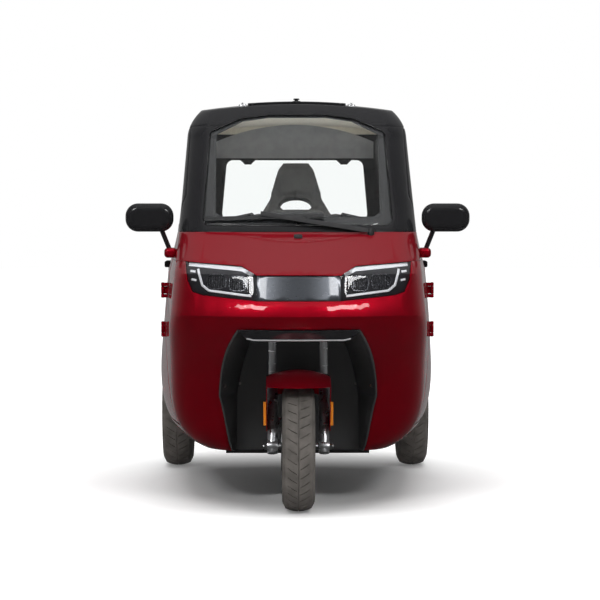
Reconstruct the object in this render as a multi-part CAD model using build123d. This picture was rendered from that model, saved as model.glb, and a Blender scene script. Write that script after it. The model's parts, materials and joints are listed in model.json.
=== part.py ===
"""Enclosed three-wheel cabin scooter: one steered front wheel on a telescopic fork, two rear wheels on a driven
axle, a moulded body with a glazed cabin, two hinged doors and a boot lid.

Frame: millimetres, +Z up, the front faces -Y, +X is the vehicle's left. The origin is on the ground, at the
middle of the overall length and width."""

import os
from collections import namedtuple
from math import acos, cos, radians, sin, sqrt

from build123d import *

# Overall layout
HALF_LENGTH = 1100
WHEELBASE = 1550
FRONT_AXLE_Y = -830
REAR_AXLE_Y = FRONT_AXLE_Y + WHEELBASE
REAR_WHEEL_X = 508

# Tyres and rims
FRONT_TYRE_R = 240
FRONT_TYRE_W = 122
REAR_TYRE_R = 243
REAR_TYRE_W = 130
RIM_R = 155
RIM_WALL = 5
RIM_LIP = 8
RIM_SPOKES = 6
HUB_R = 34
BEAD_GAP = 0.3
TREAD_CHORDS = 8
FLANK_CHORDS = 3
FRONT_AXLE_R = 8
REAR_STUB_R = 14
BEARING_CLEARANCE = 0.05
DISC_R = 92
DISC_T = 4
DISC_X = -62

# Steering and fork
RAKE = 20
FORK_OFFSET = 30
LEG_X = 96
STANCHION_R = 15
LOWER_R = 19
STEM_R = 16
LOWER_CLAMP_UP = 545
UPPER_CLAMP_UP = 660
CLAMP_T = 24
CLAMP_RIM = 9
LOWER_LEG_TOP = 265
LEG_FOOT = 26
BAR_UP = 905
BAR_R = 11
GRIP_R = 17
GRIP_L = 120
BAR_HALF = 270
BAR_PULLBACK = 190
BAR_RISE = (0, 45, 55)
BAR_BENDS = (70, 150)
BAR_SWEEP = 90
BAR_BEND_R = 40
BAR_CLAMP_SIZE = (76, 50, 36)
LEVER_AHEAD = 42
LEVER_R = 6
LEVER_PERCH_R = 7
LEVER_PERCH_IN = 14
LEVER_END_IN = 10
FENDER_GAP = 46
FENDER_T = 4
FENDER_HALF = 118
FENDER_CROWN = 26
FENDER_FRONT_DEG = 45
FENDER_REAR_DEG = 50
FENDER_LIP_Z = 470
SKIRT_BOTTOM_Z = 300
SKIRT_FRONT = 20
SKIRT_REAR = 32
SKIRT_TOP_DEG = 12
REFLECTOR_UP = 20
REFLECTOR_T = 10
REFLECTOR_W = 26
REFLECTOR_H = 88
SEAT_GAP = 0.3
STEM_HOLE_R = 125

# Body shell
WALL = 24
DOOR_WALL = 40
CABIN_WALL = 30
PANEL_GAP = 0.5
MOVING_GAP = 6
BELT_Z = 1035
CREASE_Z = 735
SHOULDER_Z = 885
FLOOR_Z = 200
MID_Y = 350
ROOF_TOP_Z = 1550
ROOF_CROWN_Y = 200
ROOF_RADIUS_X = 2600
ROOF_RADIUS_Y = 6000

# Each section of the body is a plan outline at one height: the nose and tail are the points on the centre line,
# half widths are taken at the front corner, at MID_Y and at the rear corner, and r_front and r_rear round them.
Level = namedtuple("Level", "z nose front_half front_y mid_half rear_half rear_y tail r_front r_rear")
LOWER_LEVELS = [
    Level(FLOOR_Z, -655, 325, -560, 472, 455, 860, 985, 200, 120),
    Level(310, -710, 442, -610, 543, 522, 900, 1040, 200, 130),
    Level(480, -815, 468, -690, 563, 550, 920, 1072, 200, 140),
    Level(640, -995, 470, -850, 550, 545, 925, 1080, 200, 140),
    Level(CREASE_Z, -HALF_LENGTH, 464, -935, 541, 538, 925, 1082, 200, 140),
]
SHOULDER_LEVEL = Level(SHOULDER_Z, -1052, 450, -895, 525, 512, 915, 1066, 200, 140)
BELT_LEVEL = Level(BELT_Z, -700, 446, -645, 472, 440, 890, 950, 130, 130)
ROOF_EDGE_LEVELS = [
    Level(1400, -408, 425, -360, 440, 416, 822, 876, 110, 110),
    Level(1470, -352, 405, -307, 420, 398, 798, 850, 100, 100),
    Level(1530, -285, 352, -242, 366, 346, 745, 792, 90, 90),
    Level(1580, -205, 285, -165, 296, 278, 672, 712, 80, 80),
]

# Doors
DOOR_FRONT_Y = -495
DOOR_REAR_Y = 340
DOOR_REAR_GAP = 10
DOOR_SILL_Z = 292
DOOR_TOP_Z = 1438
PILLAR_DEPTH = 95
WINDOW_BORDER = 46
WINDOW_BOTTOM_Z = 1062
WINDOW_CORNER_R = 30
GLASS_INSET = 5
GLASS_T = 5
HINGE_X = 518
HINGE_PIN_R = 4
HINGE_R = 7
HINGE_HALF = 14
HINGE_ZS = (660, 810)
HINGE_LEAF_T = 5
HINGE_LEAF_L = 33
HINGE_LUG = 12
HINGE_REACH = 100
HINGE_PLAY = 1
HANDLE_Y = 215
HANDLE_Z = 892
HANDLE_L = 120
HANDLE_W = 26
HANDLE_H = 30

# Glazing in the front and rear walls: (half width, height) corners from the bottom up
WINDSCREEN = [(362, 1060), (340, 1422), (222, 1474), (112, 1488)]
REAR_WINDOW = [(324, 1068), (299, 1332)]
QUARTER_FRONT_Y = 400
QUARTER_REAR_Y = 715
QUARTER_TOP_Z = 1385

# Nose: the band of lamps and its dark centre, seen from the front as (x, z) on the left half
CENTRE_HALF = 153
LAMP_OUTLINE = [
    (CENTRE_HALF, 790), (195, 794), (351, 809), (387, 820), (407, 862),
    (418, 929), (209, 915), (CENTRE_HALF, 882),
]
HOOD_SEAM = LAMP_OUTLINE[5:]
LENS_INSET = 2
LENS_T = 4
LAMP_GAP = 6
LAMP_INNER = 46
CENTRE_INSET = 6
STRIP_OUTLINE = [(170, 640), (205, 662), (222, 684)]
STRIP_PROUD = 6

# Front wheel well: half widths of the opening at the foot, at the waist and at the top of two sections
WELL_CLEARANCE = 32
WELL_BACK_Y = FRONT_AXLE_Y + FRONT_TYRE_R + WELL_CLEARANCE
Well = namedtuple("Well", "y foot waist waist_z top top_z")
WELL_SECTIONS = [Well(-1130, 405, 455, 420, 240, 684), Well(WELL_BACK_Y, 240, 235, 420, 150, 690)]
WELL_BULGE = 12
WELL_FOOT_Z = 150
LINER_T = 5
HEAD_TUBE_R = 26
DOWN_TUBE_R = 20
DOWN_TUBE_Y = -532
DOWN_TUBE_TOP_Z = 838

# Rear body
LID_HALF = 310
LID_BOTTOM_Z = 560
LID_TOP_Z = 862
LID_WALL = 28
LID_CORNER_R = 35
LID_HINGE_X = 110
LID_HINGE_PROUD = 13
TAIL_LAMP = [(372, 655), (620, 692), (620, 836), (392, 815)]
TAIL_LAMP_FRONT_Y = 905
ARCH_GAP = 34
BUMPER_LOW_Z = 330
BUMPER_HIGH_Z = 450
BUMPER_HALF = 425

# Inside
BULKHEAD_Y = -509
BULKHEAD_T = 7
DASH_REAR_Y = -440
DASH_FRONT_Y = -690
DASH_LOW_Z = 880
DASH_TOP_Z = 1030
DASH_WALL = 18
COLUMN_HOLE_R = 32
FLOOR_SLAB_Z = 225
FLOOR_SLAB_T = 20
TUB_FLOOR_Z = 420
TUB_TOP_Z = 550
TUB_WALL = 16
TUB_HALF = 425
TUB_FRONT_Y = 351
TUB_REAR_Y = 1030
BATTERY_HALF = 230
BATTERY_FRONT_Y = -20
BATTERY_REAR_Y = 330
BATTERY_TOP_Z = 500
BATTERY_CORNER_R = 30
CUSHION_T = 92
CUSHION_CORNER_R = 45
DRIVER_HALF = 225
DRIVER_FRONT_Y = -190
DRIVER_REAR_Y = 250
RECLINE = 8
BACK_T = 90
BACK_OUTLINE = [(205, 0), (226, 300), (214, 470), (150, 512), (112, 575), (96, 640), (78, 700), (54, 730)]
BACK_HOLE_UP = 553
BACK_HOLE_HALF = 66
BACK_HOLE_H = 29
BENCH_HALF = 440
BENCH_FRONT_Y = 480
BENCH_REAR_Y = 850
BENCH_BACK_T = 70
BENCH_BACK_HALF = 420
BENCH_BACK_TOP_Z = 1010
HEADLINER_T = 6
LINING_GAP = 1
HEADER_HALF = 345
HEADER_RIM = 8
HEADER_END_Z = 1412
HEADER_CROWN_Z = 1486

# Fittings outside
MIRROR_HEAD_X = 565
MIRROR_Y = -560
MIRROR_HEAD_Z = 1089
MIRROR_W = 183
MIRROR_H = 108
MIRROR_D = 66
MIRROR_CORNER_R = 48
MIRROR_EDGE_R = 28
MIRROR_POD_SIZE = (48, 86, 38)
MIRROR_POD_R = 14
MIRROR_POD_X = 484
MIRROR_POD_Z = 955
MIRROR_ARM_R = 9
WIPER_PIVOT_X = 274
WIPER_PIVOT_Z = 1012
WIPER_PIVOT_R = 13
WIPER_ARM = [(274, 1040), (-141, 1106)]
WIPER_BLADE = [(-355, 1086), (99, 1098)]
WIPER_STAND = 4
WIPER_T = 9
ROOF_PAD_HALF = 195
ROOF_PAD_FRONT_Y = -190
ROOF_PAD_REAR_Y = 330
ROOF_PAD_H = 8

# Running gear under the floor
RAIL_X = 255
RAIL_W = 40
RAIL_LOW_Z = 185
RAIL_HIGH_Z = 335
RAIL_H = 40
RAIL_FRONT_Y = -505
RAIL_REAR_Y = 955
KICK_Y = 400
KICK_RUN = 80
AXLE_TUBE_R = 28
AXLE_TUBE_HALF = 432
DRUM_R = 92
DRUM_W = 32
MOTOR_R = 95
MOTOR_L = 230
LEAF_W = 46
LEAF_T = 16
LEAF_HALF = 222
LEAF_EYE_R = 14
TOW_HOLE_R = 7
TOW_PLATE_T = 10
TOW_HALF = 24
TOW_REACH = 20

X_AXIS, Y_AXIS, Z_AXIS = (1, 0, 0), (0, 1, 0), (0, 0, 1)


def outline(level, inset=0.0):
    """Closed plan face of the body at one level, pulled in by inset all round."""
    left_front = (-(level.front_half - inset), level.front_y + inset)
    right_front = (level.front_half - inset, level.front_y + inset)
    right_rear = (level.rear_half - inset, level.rear_y - inset)
    left_rear = (-(level.rear_half - inset), level.rear_y - inset)
    face = make_face([
        ThreePointArc(left_front, (0, level.nose + inset), right_front),
        ThreePointArc(right_front, (level.mid_half - inset, MID_Y), right_rear),
        ThreePointArc(right_rear, (0, level.tail - inset), left_rear),
        ThreePointArc(left_rear, (-(level.mid_half - inset), MID_Y), left_front),
    ])
    face = fillet(face.vertices().sort_by(Axis.Y)[:2], level.r_front - inset)
    face = fillet(face.vertices().sort_by(Axis.Y)[-2:], level.r_rear - inset)
    return Pos(0, 0, level.z) * face


def roof_barrel(drop):
    """Solid of revolution whose top is the roof's crown, lowered by drop."""
    top = ROOF_TOP_Z - drop
    axis_z = top - ROOF_RADIUS_X
    reach = 1500
    sag = ROOF_RADIUS_Y - sqrt(ROOF_RADIUS_Y**2 - reach**2)
    front, rear = ROOF_CROWN_Y - reach, ROOF_CROWN_Y + reach
    profile = make_face([
        ThreePointArc((front, top - sag), (ROOF_CROWN_Y, top), (rear, top - sag)),
        Polyline((rear, top - sag), (rear, axis_z), (front, axis_z), (front, top - sag)),
    ])
    turned = Plane.YZ * profile
    return revolve(turned, Axis((0, 0, axis_z), Y_AXIS), 360)


def lower_hull(inset):
    """Body below the belt: smooth up to the crease, then straight to the shoulder and the belt."""
    flank = loft([outline(level, inset) for level in LOWER_LEVELS])
    brow = loft([outline(LOWER_LEVELS[-1], inset), outline(SHOULDER_LEVEL, inset)], ruled=True)
    deck = loft([outline(SHOULDER_LEVEL, inset), outline(BELT_LEVEL, inset)], ruled=True)
    return flank + brow + deck


def cabin_hull(inset):
    """Glazed upper body with its crowned roof."""
    glazed = loft([outline(BELT_LEVEL, inset), outline(ROOF_EDGE_LEVELS[0], inset)], ruled=True)
    roof = loft([outline(level, inset) for level in ROOF_EDGE_LEVELS])
    return (glazed + roof) & roof_barrel(inset)


def block(x, y, z):
    """Box given by its (low, high) pairs."""
    size = [high - low for low, high in (x, y, z)]
    middle = [(high + low) / 2 for low, high in (x, y, z)]
    return Pos(*middle) * Box(*size)


def rod(start, end, radius):
    """Round bar between two points."""
    line = Edge.make_line(start, end)
    plane = Plane(origin=start, z_dir=line % 0)
    return extrude(plane * Circle(radius), line.length)


def both(shape):
    """A piece and its mirror image across the centre plane, as one node."""
    return Compound(children=[*shape.solids(), *mirror(shape, Plane.YZ).solids()])


BIG = 3000


def skin(hull, start, reach):
    """Where a line from start, along reach, leaves the hull."""
    inside = hull & Edge.make_line(start, Vector(start) + Vector(reach) * BIG)
    return max(inside.vertices(), key=lambda vertex: (Vector(vertex) - Vector(start)).length).center()


def half_outline(points):
    """Closed outline, symmetric about x = 0, from the (x, z) points of its left half, bottom up."""
    return [*points, *[(-x, z) for x, z in reversed(points)]]


def prism_face(points, corner_r=0.0, grow=0.0):
    """Flat face of an outline, rounded by corner_r and then grown or shrunk by grow."""
    face = make_face(Polyline(*points, close=True))
    if corner_r:
        face = fillet(face.vertices(), corner_r)
    if grow:
        face = offset(face, grow, kind=Kind.INTERSECTION)
    return face


def across(points, y_from, y_to, corner_r=0.0, grow=0.0):
    """Prism along Y of an (x, z) outline."""
    face = Plane.XZ * prism_face(points, corner_r, grow)
    return extrude(Pos(0, y_from, 0) * face, y_to - y_from, dir=Y_AXIS)


def sideways(points, x_from, x_to, corner_r=0.0, grow=0.0):
    """Prism along X of a (y, z) outline."""
    face = Plane.YZ * prism_face(points, corner_r, grow)
    return extrude(Pos(x_from, 0, 0) * face, x_to - x_from, dir=X_AXIS)


outer_low, inner_low = lower_hull(0), lower_hull(WALL)
outer_cabin, inner_cabin = cabin_hull(0), cabin_hull(CABIN_WALL)
low_shell = outer_low - inner_low
cabin_shell = outer_cabin - inner_cabin
low_cover = lower_hull(-SEAT_GAP)
low_lining = lower_hull(WALL + PANEL_GAP)


# Steering geometry: a point on the steering axis is named by its distance up from the axle's level
STEER_UP = Vector(0, sin(radians(RAKE)), cos(radians(RAKE)))
STEER_FORWARD = Vector(0, -cos(radians(RAKE)), sin(radians(RAKE)))
FRONT_AXLE = Vector(0, FRONT_AXLE_Y, FRONT_TYRE_R)
STEER_BASE = FRONT_AXLE - STEER_FORWARD * FORK_OFFSET
FORK_PLANE = Plane(origin=STEER_BASE, x_dir=X_AXIS, z_dir=STEER_UP)


def on_fork(x, forward, up):
    """Point in the fork's own frame: across, ahead of the steering axis, and up along it."""
    return Vector(x, 0, 0) + STEER_BASE + STEER_FORWARD * forward + STEER_UP * up


# Wheels
def tyre(radius, width, bead_r):
    """Tyre on the X axis, centred on the origin, its round tread and flanks cut into short straight chords."""
    half = width / 2
    shoulder = 0.86 * radius + 0.14 * bead_r
    flank = 0.5 * (radius + bead_r)
    seat, lip_r = 0.62 * half, bead_r + RIM_LIP + BEAD_GAP
    tread = ThreePointArc((-0.8 * half, shoulder), (0, radius), (0.8 * half, shoulder))
    side = ThreePointArc((0.8 * half, shoulder), (half, flank), (seat, lip_r))
    outer = [tread @ (step / TREAD_CHORDS) for step in range(TREAD_CHORDS)]
    flank_points = [side @ (step / FLANK_CHORDS) for step in range(FLANK_CHORDS + 1)]
    outer += flank_points + [Vector(seat, bead_r), Vector(-seat, bead_r)]
    outer += [Vector(-point.X, point.Y) for point in reversed(flank_points[1:])]
    return revolve(make_face(Polyline(*outer, close=True)), Axis.X, 360)


def rim(width, bore_r, hub_half):
    """Cast wheel with straight spokes, on the X axis."""
    half = 0.62 * width / 2 + 6
    lip = RIM_R + RIM_LIP
    well = RIM_R - 16
    barrel = make_face(Polyline(
        (-half, lip), (-half + 5, lip), (-half + 5, RIM_R), (-0.3 * half, RIM_R), (-0.2 * half, well),
        (0.2 * half, well), (0.3 * half, RIM_R), (half - 5, RIM_R), (half - 5, lip), (half, lip),
        (half, RIM_R - RIM_WALL), (0.3 * half, RIM_R - RIM_WALL), (0.2 * half, well - RIM_WALL),
        (-0.2 * half, well - RIM_WALL), (-0.3 * half, RIM_R - RIM_WALL), (-half, RIM_R - RIM_WALL), close=True,
    ))
    wheel = revolve(barrel, Axis.X, 360)
    wheel += Rot(0, 90, 0) * Cylinder(HUB_R, 2 * hub_half)
    spoke_root, spoke_tip = 17, 12
    spoke = extrude(
        Plane.YZ * make_face(Polyline(
            (-spoke_root, HUB_R - 8), (spoke_root, HUB_R - 8), (spoke_tip, well - 2), (-spoke_tip, well - 2),
            close=True,
        )),
        0.2 * half, both=True,
    )
    for turn in range(RIM_SPOKES):
        wheel += Rot(360 / RIM_SPOKES * turn, 0, 0) * spoke
    return wheel - Rot(0, 90, 0) * Cylinder(bore_r, 4 * hub_half)


FRONT_HUB_HALF = 48
REAR_HUB_HALF = 40
front_place = Pos(*FRONT_AXLE)
front_tyre = front_place * tyre(FRONT_TYRE_R, FRONT_TYRE_W, RIM_R + BEAD_GAP)
front_rim = front_place * rim(FRONT_TYRE_W, FRONT_AXLE_R + BEARING_CLEARANCE, FRONT_HUB_HALF)
disc = Rot(0, 90, 0) * (Cylinder(DISC_R, DISC_T) - Cylinder(0.6 * DISC_R, 2 * DISC_T))
carrier = Rot(0, 90, 0) * (Cylinder(0.62 * DISC_R, DISC_T) - Cylinder(FRONT_AXLE_R + 6, 2 * DISC_T))
disc_boss = Rot(0, 90, 0) * (Cylinder(HUB_R - 6, -DISC_X - FRONT_HUB_HALF) - Cylinder(FRONT_AXLE_R + 6, 60))
front_disc = front_place * (
    Pos(DISC_X, 0, 0) * (disc + carrier) + Pos((DISC_X - FRONT_HUB_HALF) / 2, 0, 0) * disc_boss
)
rear_tyre = tyre(REAR_TYRE_R, REAR_TYRE_W, RIM_R + BEAD_GAP)
rear_rim = rim(REAR_TYRE_W, REAR_STUB_R + BEARING_CLEARANCE, REAR_HUB_HALF)
REAR_PLACES = {
    "left": Pos(REAR_WHEEL_X, REAR_AXLE_Y, REAR_TYRE_R),
    "right": Pos(-REAR_WHEEL_X, REAR_AXLE_Y, REAR_TYRE_R),
}

# Fork, fender and handlebar, all on the steering axis
stem = rod(on_fork(0, 0, LOWER_CLAMP_UP - CLAMP_T), on_fork(0, 0, BAR_UP - BAR_R), STEM_R)


def clamp(up):
    """Triple clamp: a plate drawn tight round the stem and both legs."""
    rings = [Circle(STEM_R + CLAMP_RIM)]
    rings += [Pos(x, -FORK_OFFSET) * Circle(STANCHION_R + CLAMP_RIM) for x in (-LEG_X, LEG_X)]
    plate = make_hull([ring.edge() for ring in rings])
    return extrude(FORK_PLANE.offset(up) * plate, CLAMP_T)


fork_upper = stem + clamp(LOWER_CLAMP_UP) + clamp(UPPER_CLAMP_UP)
for side in (-1, 1):
    stanchion_foot = on_fork(side * LEG_X, FORK_OFFSET, LOWER_LEG_TOP)
    fork_upper += rod(stanchion_foot, on_fork(side * LEG_X, FORK_OFFSET, UPPER_CLAMP_UP + CLAMP_T), STANCHION_R)
fork_lowers = []
for side in (-1, 1):
    leg_line = [on_fork(side * LEG_X, FORK_OFFSET, up) for up in (-LEG_FOOT, LOWER_LEG_TOP)]
    leg = rod(*leg_line, LOWER_R)
    eye = Pos(side * LEG_X, FRONT_AXLE_Y, FRONT_TYRE_R) * Rot(0, 90, 0) * Cylinder(LOWER_R + 4, 2 * LOWER_R + 2)
    leg = leg + eye - front_place * Rot(0, 90, 0) * Cylinder(FRONT_AXLE_R + BEARING_CLEARANCE, 400)
    fork_lowers.append(leg)
axle_half = LEG_X + LOWER_R + 16
front_axle = front_place * Rot(0, 90, 0) * Cylinder(FRONT_AXLE_R, 2 * axle_half)
for side in (-1, 1):
    nut_x = side * (LEG_X + LOWER_R + 1 + SEAT_GAP + 5)
    front_axle += Pos(nut_x, 0, 0) * front_place * Rot(0, 90, 0) * extrude(RegularPolygon(13, 6), 5, both=True)
    collar = (FRONT_HUB_HALF + LEG_X - LOWER_R - 1) / 2
    front_axle += Pos(side * collar, 0, 0) * front_place * Rot(0, 90, 0) * Cylinder(FRONT_AXLE_R + 5, 20)

FENDER_R = FRONT_TYRE_R + FENDER_GAP
SKIRT_X = LEG_X + LOWER_R + SEAT_GAP


def fender_arch():
    """Crowned arch over the tyre, between its front and rear angles from the top."""
    half, outer_r, crown = FENDER_HALF, FENDER_R + FENDER_T, FENDER_CROWN
    strip = make_face([
        ThreePointArc((-half, outer_r - crown), (0, outer_r), (half, outer_r - crown)),
        Line((half, outer_r - crown), (half, FENDER_R - crown)),
        ThreePointArc((half, FENDER_R - crown), (0, FENDER_R), (-half, FENDER_R - crown)),
        Line((-half, FENDER_R - crown), (-half, outer_r - crown)),
    ])
    arch = revolve(strip, Axis.X, FENDER_FRONT_DEG + FENDER_REAR_DEG)
    arch = front_place * Rot(90 - FENDER_REAR_DEG, 0, 0) * arch
    return arch - block((-BIG, BIG), (-BIG, FRONT_AXLE_Y), (0, FENDER_LIP_Z))


def fender_skirt():
    """Side plate that hangs from the arch's left edge and bolts to the fork leg."""
    edge_r = FENDER_R - FENDER_CROWN + FENDER_T
    lip = acos((FENDER_LIP_Z - FRONT_TYRE_R) / edge_r)
    edge = [
        (FRONT_AXLE_Y - edge_r * sin(turn), FRONT_TYRE_R + edge_r * cos(turn))
        for turn in (-radians(SKIRT_TOP_DEG), 0, lip / 2, lip)
    ]
    foot = [(FRONT_AXLE_Y - SKIRT_FRONT, SKIRT_BOTTOM_Z), (FRONT_AXLE_Y + SKIRT_REAR, SKIRT_BOTTOM_Z)]
    return sideways(edge + foot, SKIRT_X, SKIRT_X + FENDER_T)


skirt = fender_skirt()
front_fender = fender_arch() + skirt + mirror(skirt, Plane.YZ)
for side in (-1, 1):
    leg_line = [on_fork(side * LEG_X, FORK_OFFSET, up) for up in (LOWER_LEG_TOP / 2, LOWER_LEG_TOP + 75)]
    front_fender -= rod(*leg_line, LOWER_R + SEAT_GAP)
reflector_low_z, reflector_front_y = SKIRT_BOTTOM_Z + REFLECTOR_UP, FRONT_AXLE_Y - SKIRT_FRONT
reflector_z = (reflector_low_z, reflector_low_z + REFLECTOR_H)
reflector_y = (reflector_front_y, reflector_front_y + REFLECTOR_W)
reflector_x = (SKIRT_X + FENDER_T, SKIRT_X + FENDER_T + REFLECTOR_T)
fender_reflectors = both(block(reflector_x, reflector_y, reflector_z))

caliper_x = (-LEG_X + LOWER_R + SEAT_GAP, DISC_X + 18)
caliper = block(caliper_x, (-32, 32), (0.62 * DISC_R, DISC_R + 20))
caliper -= block((DISC_X - 7, DISC_X + 7), (-40, 40), (0, DISC_R + 6))
brake_caliper = front_place * Rot(-42, 0, 0) * caliper

bar_points = []
for side in (-1, 1):
    bends = zip((*BAR_BENDS, BAR_HALF), (0, BAR_SWEEP, BAR_PULLBACK), BAR_RISE)
    run = [on_fork(side * x, -back, BAR_UP + rise) for x, back, rise in bends]
    bar_points += run if side > 0 else reversed(run)
bar_path = FilletPolyline(*bar_points, radius=BAR_BEND_R)
handlebar = sweep(Plane(origin=bar_path @ 0, z_dir=bar_path % 0) * Circle(BAR_R), path=bar_path)
for end, near in ((bar_points[0], bar_points[1]), (bar_points[-1], bar_points[-2])):
    grip_in = end + (near - end).normalized() * GRIP_L
    handlebar += rod(end, grip_in, GRIP_R)
    inward, ahead = (near - end).normalized(), STEER_FORWARD * LEVER_AHEAD
    handlebar += rod(grip_in + inward * LEVER_PERCH_IN, grip_in + ahead, LEVER_PERCH_R)
    handlebar += rod(grip_in + ahead, end + ahead + inward * LEVER_END_IN, LEVER_R)
handlebar += FORK_PLANE.offset(BAR_UP - BAR_R) * Pos(0, 0, BAR_R) * Box(*BAR_CLAMP_SIZE)
handlebar -= rod(on_fork(0, 0, BAR_UP - 100), on_fork(0, 0, BAR_UP - BAR_R), STEM_R + SEAT_GAP)

# Body panels
FRONT_SPLIT_Y = DOOR_FRONT_Y - MOVING_GAP
REAR_SPLIT_Y = DOOR_REAR_Y + DOOR_REAR_GAP
ROOF_SPLIT_Z = DOOR_TOP_Z + MOVING_GAP
SCREEN_RUN = (ROOF_EDGE_LEVELS[0].nose - BELT_LEVEL.nose) / (ROOF_EDGE_LEVELS[0].z - BELT_Z)
front_space = block((-BIG, BIG), (-BIG, FRONT_SPLIT_Y), (0, BIG))


def pillar_y(z):
    """Rear edge of the windscreen pillar at a height."""
    return BELT_LEVEL.nose + PILLAR_DEPTH + (z - BELT_Z) * SCREEN_RUN


DOOR_KNEE_Z = BELT_Z + (DOOR_FRONT_Y - pillar_y(BELT_Z)) / SCREEN_RUN
DOOR_OUTLINE = [
    (DOOR_FRONT_Y, DOOR_SILL_Z), (DOOR_REAR_Y, DOOR_SILL_Z), (DOOR_REAR_Y, DOOR_TOP_Z),
    (pillar_y(DOOR_TOP_Z), DOOR_TOP_Z), (DOOR_FRONT_Y, DOOR_KNEE_Z),
]
door_opening = sideways(DOOR_OUTLINE, -BIG, BIG, grow=MOVING_GAP)


def tunnel(grow):
    """Front wheel well as a tapered block, open below and in front, grown by grow."""
    faces = []
    for well in WELL_SECTIONS:
        foot, waist, top = well.foot + grow, well.waist + grow, well.top + grow
        top_z = well.top_z + grow
        bulge = (0.36 * waist + 0.64 * top + WELL_BULGE, 0.36 * well.waist_z + 0.64 * top_z)
        arch = make_face([
            Polyline((-foot, WELL_FOOT_Z), (-waist, well.waist_z)),
            ThreePointArc((-waist, well.waist_z), (-bulge[0], bulge[1]), (-top, top_z)),
            Line((-top, top_z), (top, top_z)),
            ThreePointArc((top, top_z), bulge, (waist, well.waist_z)),
            Polyline((waist, well.waist_z), (foot, WELL_FOOT_Z), (-foot, WELL_FOOT_Z)),
        ])
        back = grow if well.y == WELL_BACK_Y else 0
        faces.append(Pos(0, well.y + back, 0) * (Plane.XZ * arch))
    return loft(faces, ruled=True)


well_outer = tunnel(0)
steer_space = rod(on_fork(0, 0, LOWER_LEG_TOP), on_fork(0, 0, BAR_UP), STEM_HOLE_R)
steer_space &= block((-BIG, BIG), (-BIG, WELL_BACK_Y - 2 * LINER_T), (0, BIG))
strip_outline = half_outline(STRIP_OUTLINE)
strip_space = across(strip_outline, -BIG, FRONT_SPLIT_Y, grow=PANEL_GAP) - low_lining
wheel_well_liner = (well_outer - tunnel(-LINER_T) - steer_space - strip_space) & lower_hull(LENS_INSET)

hood_outline = half_outline([(BIG / 4, HOOD_SEAM[0][1]), *HOOD_SEAM])
hood_outline = [*hood_outline, (-BIG / 4, BELT_Z + 100), (BIG / 4, BELT_Z + 100)]
front_low = low_shell & front_space
hood = front_low & across(hood_outline, -BIG, 0)
bumper_strip = (lower_hull(-STRIP_PROUD) - inner_low) & across(strip_outline, -BIG, FRONT_SPLIT_Y)
front_mask = front_low - across(hood_outline, -BIG, 0, grow=PANEL_GAP)
front_mask -= across(half_outline(LAMP_OUTLINE), -BIG, 0)
front_mask -= tunnel(PANEL_GAP)


def nose_layer(points, outer_inset, inner_inset):
    """Slice of the nose between two depths, inside an outline seen from the front."""
    layer = (lower_hull(outer_inset) - lower_hull(inner_inset)) & front_space
    return layer & across(points, -BIG, 0, grow=-PANEL_GAP)


lamp_depth = LENS_INSET + LENS_T + LAMP_GAP
headlamp_lenses = both(nose_layer(LAMP_OUTLINE, LENS_INSET, LENS_INSET + LENS_T))
headlamp_bodies = both(nose_layer(LAMP_OUTLINE, lamp_depth, LAMP_INNER))
centre_outline = half_outline([LAMP_OUTLINE[0], LAMP_OUTLINE[-1]])
grille_panel = nose_layer(centre_outline, CENTRE_INSET, CENTRE_INSET + WALL)

sill_y = (FRONT_SPLIT_Y + PANEL_GAP, REAR_SPLIT_Y - PANEL_GAP)
sills = low_shell & block((-BIG, BIG), sill_y, (0, DOOR_SILL_Z - MOVING_GAP))

cabin_wall = cabin_shell & block((-BIG, BIG), (-BIG, BIG), (0, ROOF_SPLIT_Z))
screen_outline = half_outline(WINDSCREEN)
windscreen_cut = across(screen_outline, -BIG, 0, WINDOW_CORNER_R)
roof_space = block((-BIG, BIG), (-BIG, BIG), (ROOF_SPLIT_Z, BIG)) - windscreen_cut
roof_panel = cabin_shell & roof_space
windscreen_surround = (cabin_wall & block((-BIG, BIG), (-BIG, 0), (0, BIG))) - door_opening - windscreen_cut
glass_shell = cabin_hull(GLASS_INSET) - cabin_hull(GLASS_INSET + GLASS_T)
windscreen_glass = glass_shell & across(screen_outline, -BIG, 0, WINDOW_CORNER_R, -SEAT_GAP)

rear_outline = half_outline(REAR_WINDOW)
quarter_outline = [
    (QUARTER_FRONT_Y, WINDOW_BOTTOM_Z), (QUARTER_REAR_Y, WINDOW_BOTTOM_Z),
    (QUARTER_REAR_Y - 40, QUARTER_TOP_Z), (QUARTER_FRONT_Y, QUARTER_TOP_Z),
]
rear_space = block((-BIG, BIG), (REAR_SPLIT_Y, BIG), (0, BIG))
rear_upper = (cabin_wall & rear_space) - across(rear_outline, REAR_SPLIT_Y, BIG, WINDOW_CORNER_R)
rear_upper -= sideways(quarter_outline, -BIG, BIG, WINDOW_CORNER_R)
rear_pane = (glass_shell & rear_space) & across(rear_outline, REAR_SPLIT_Y, BIG, WINDOW_CORNER_R, -SEAT_GAP)
quarter_panes = glass_shell & sideways(quarter_outline, -BIG, BIG, WINDOW_CORNER_R, -SEAT_GAP)
rear_glass = Compound(children=[*rear_pane.solids(), *quarter_panes.solids()])
lining = cabin_hull(CABIN_WALL + LINING_GAP) - cabin_hull(CABIN_WALL + HEADLINER_T)
header_low_z = REAR_WINDOW[-1][1] + HEADER_RIM
header_face = make_face([
    Polyline((-HEADER_HALF, HEADER_END_Z), (-HEADER_HALF, header_low_z), (HEADER_HALF, header_low_z),
             (HEADER_HALF, HEADER_END_Z)),
    ThreePointArc((HEADER_HALF, HEADER_END_Z), (0, HEADER_CROWN_Z), (-HEADER_HALF, HEADER_END_Z)),
])
header_space = extrude(Pos(0, REAR_AXLE_Y, 0) * (Plane.XZ * header_face), BIG, dir=Y_AXIS)
rear_header = lining & header_space
headliner = (lining & roof_space) - header_space
roof_pad = roof_barrel(-ROOF_PAD_H) - roof_barrel(-SEAT_GAP)
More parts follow.
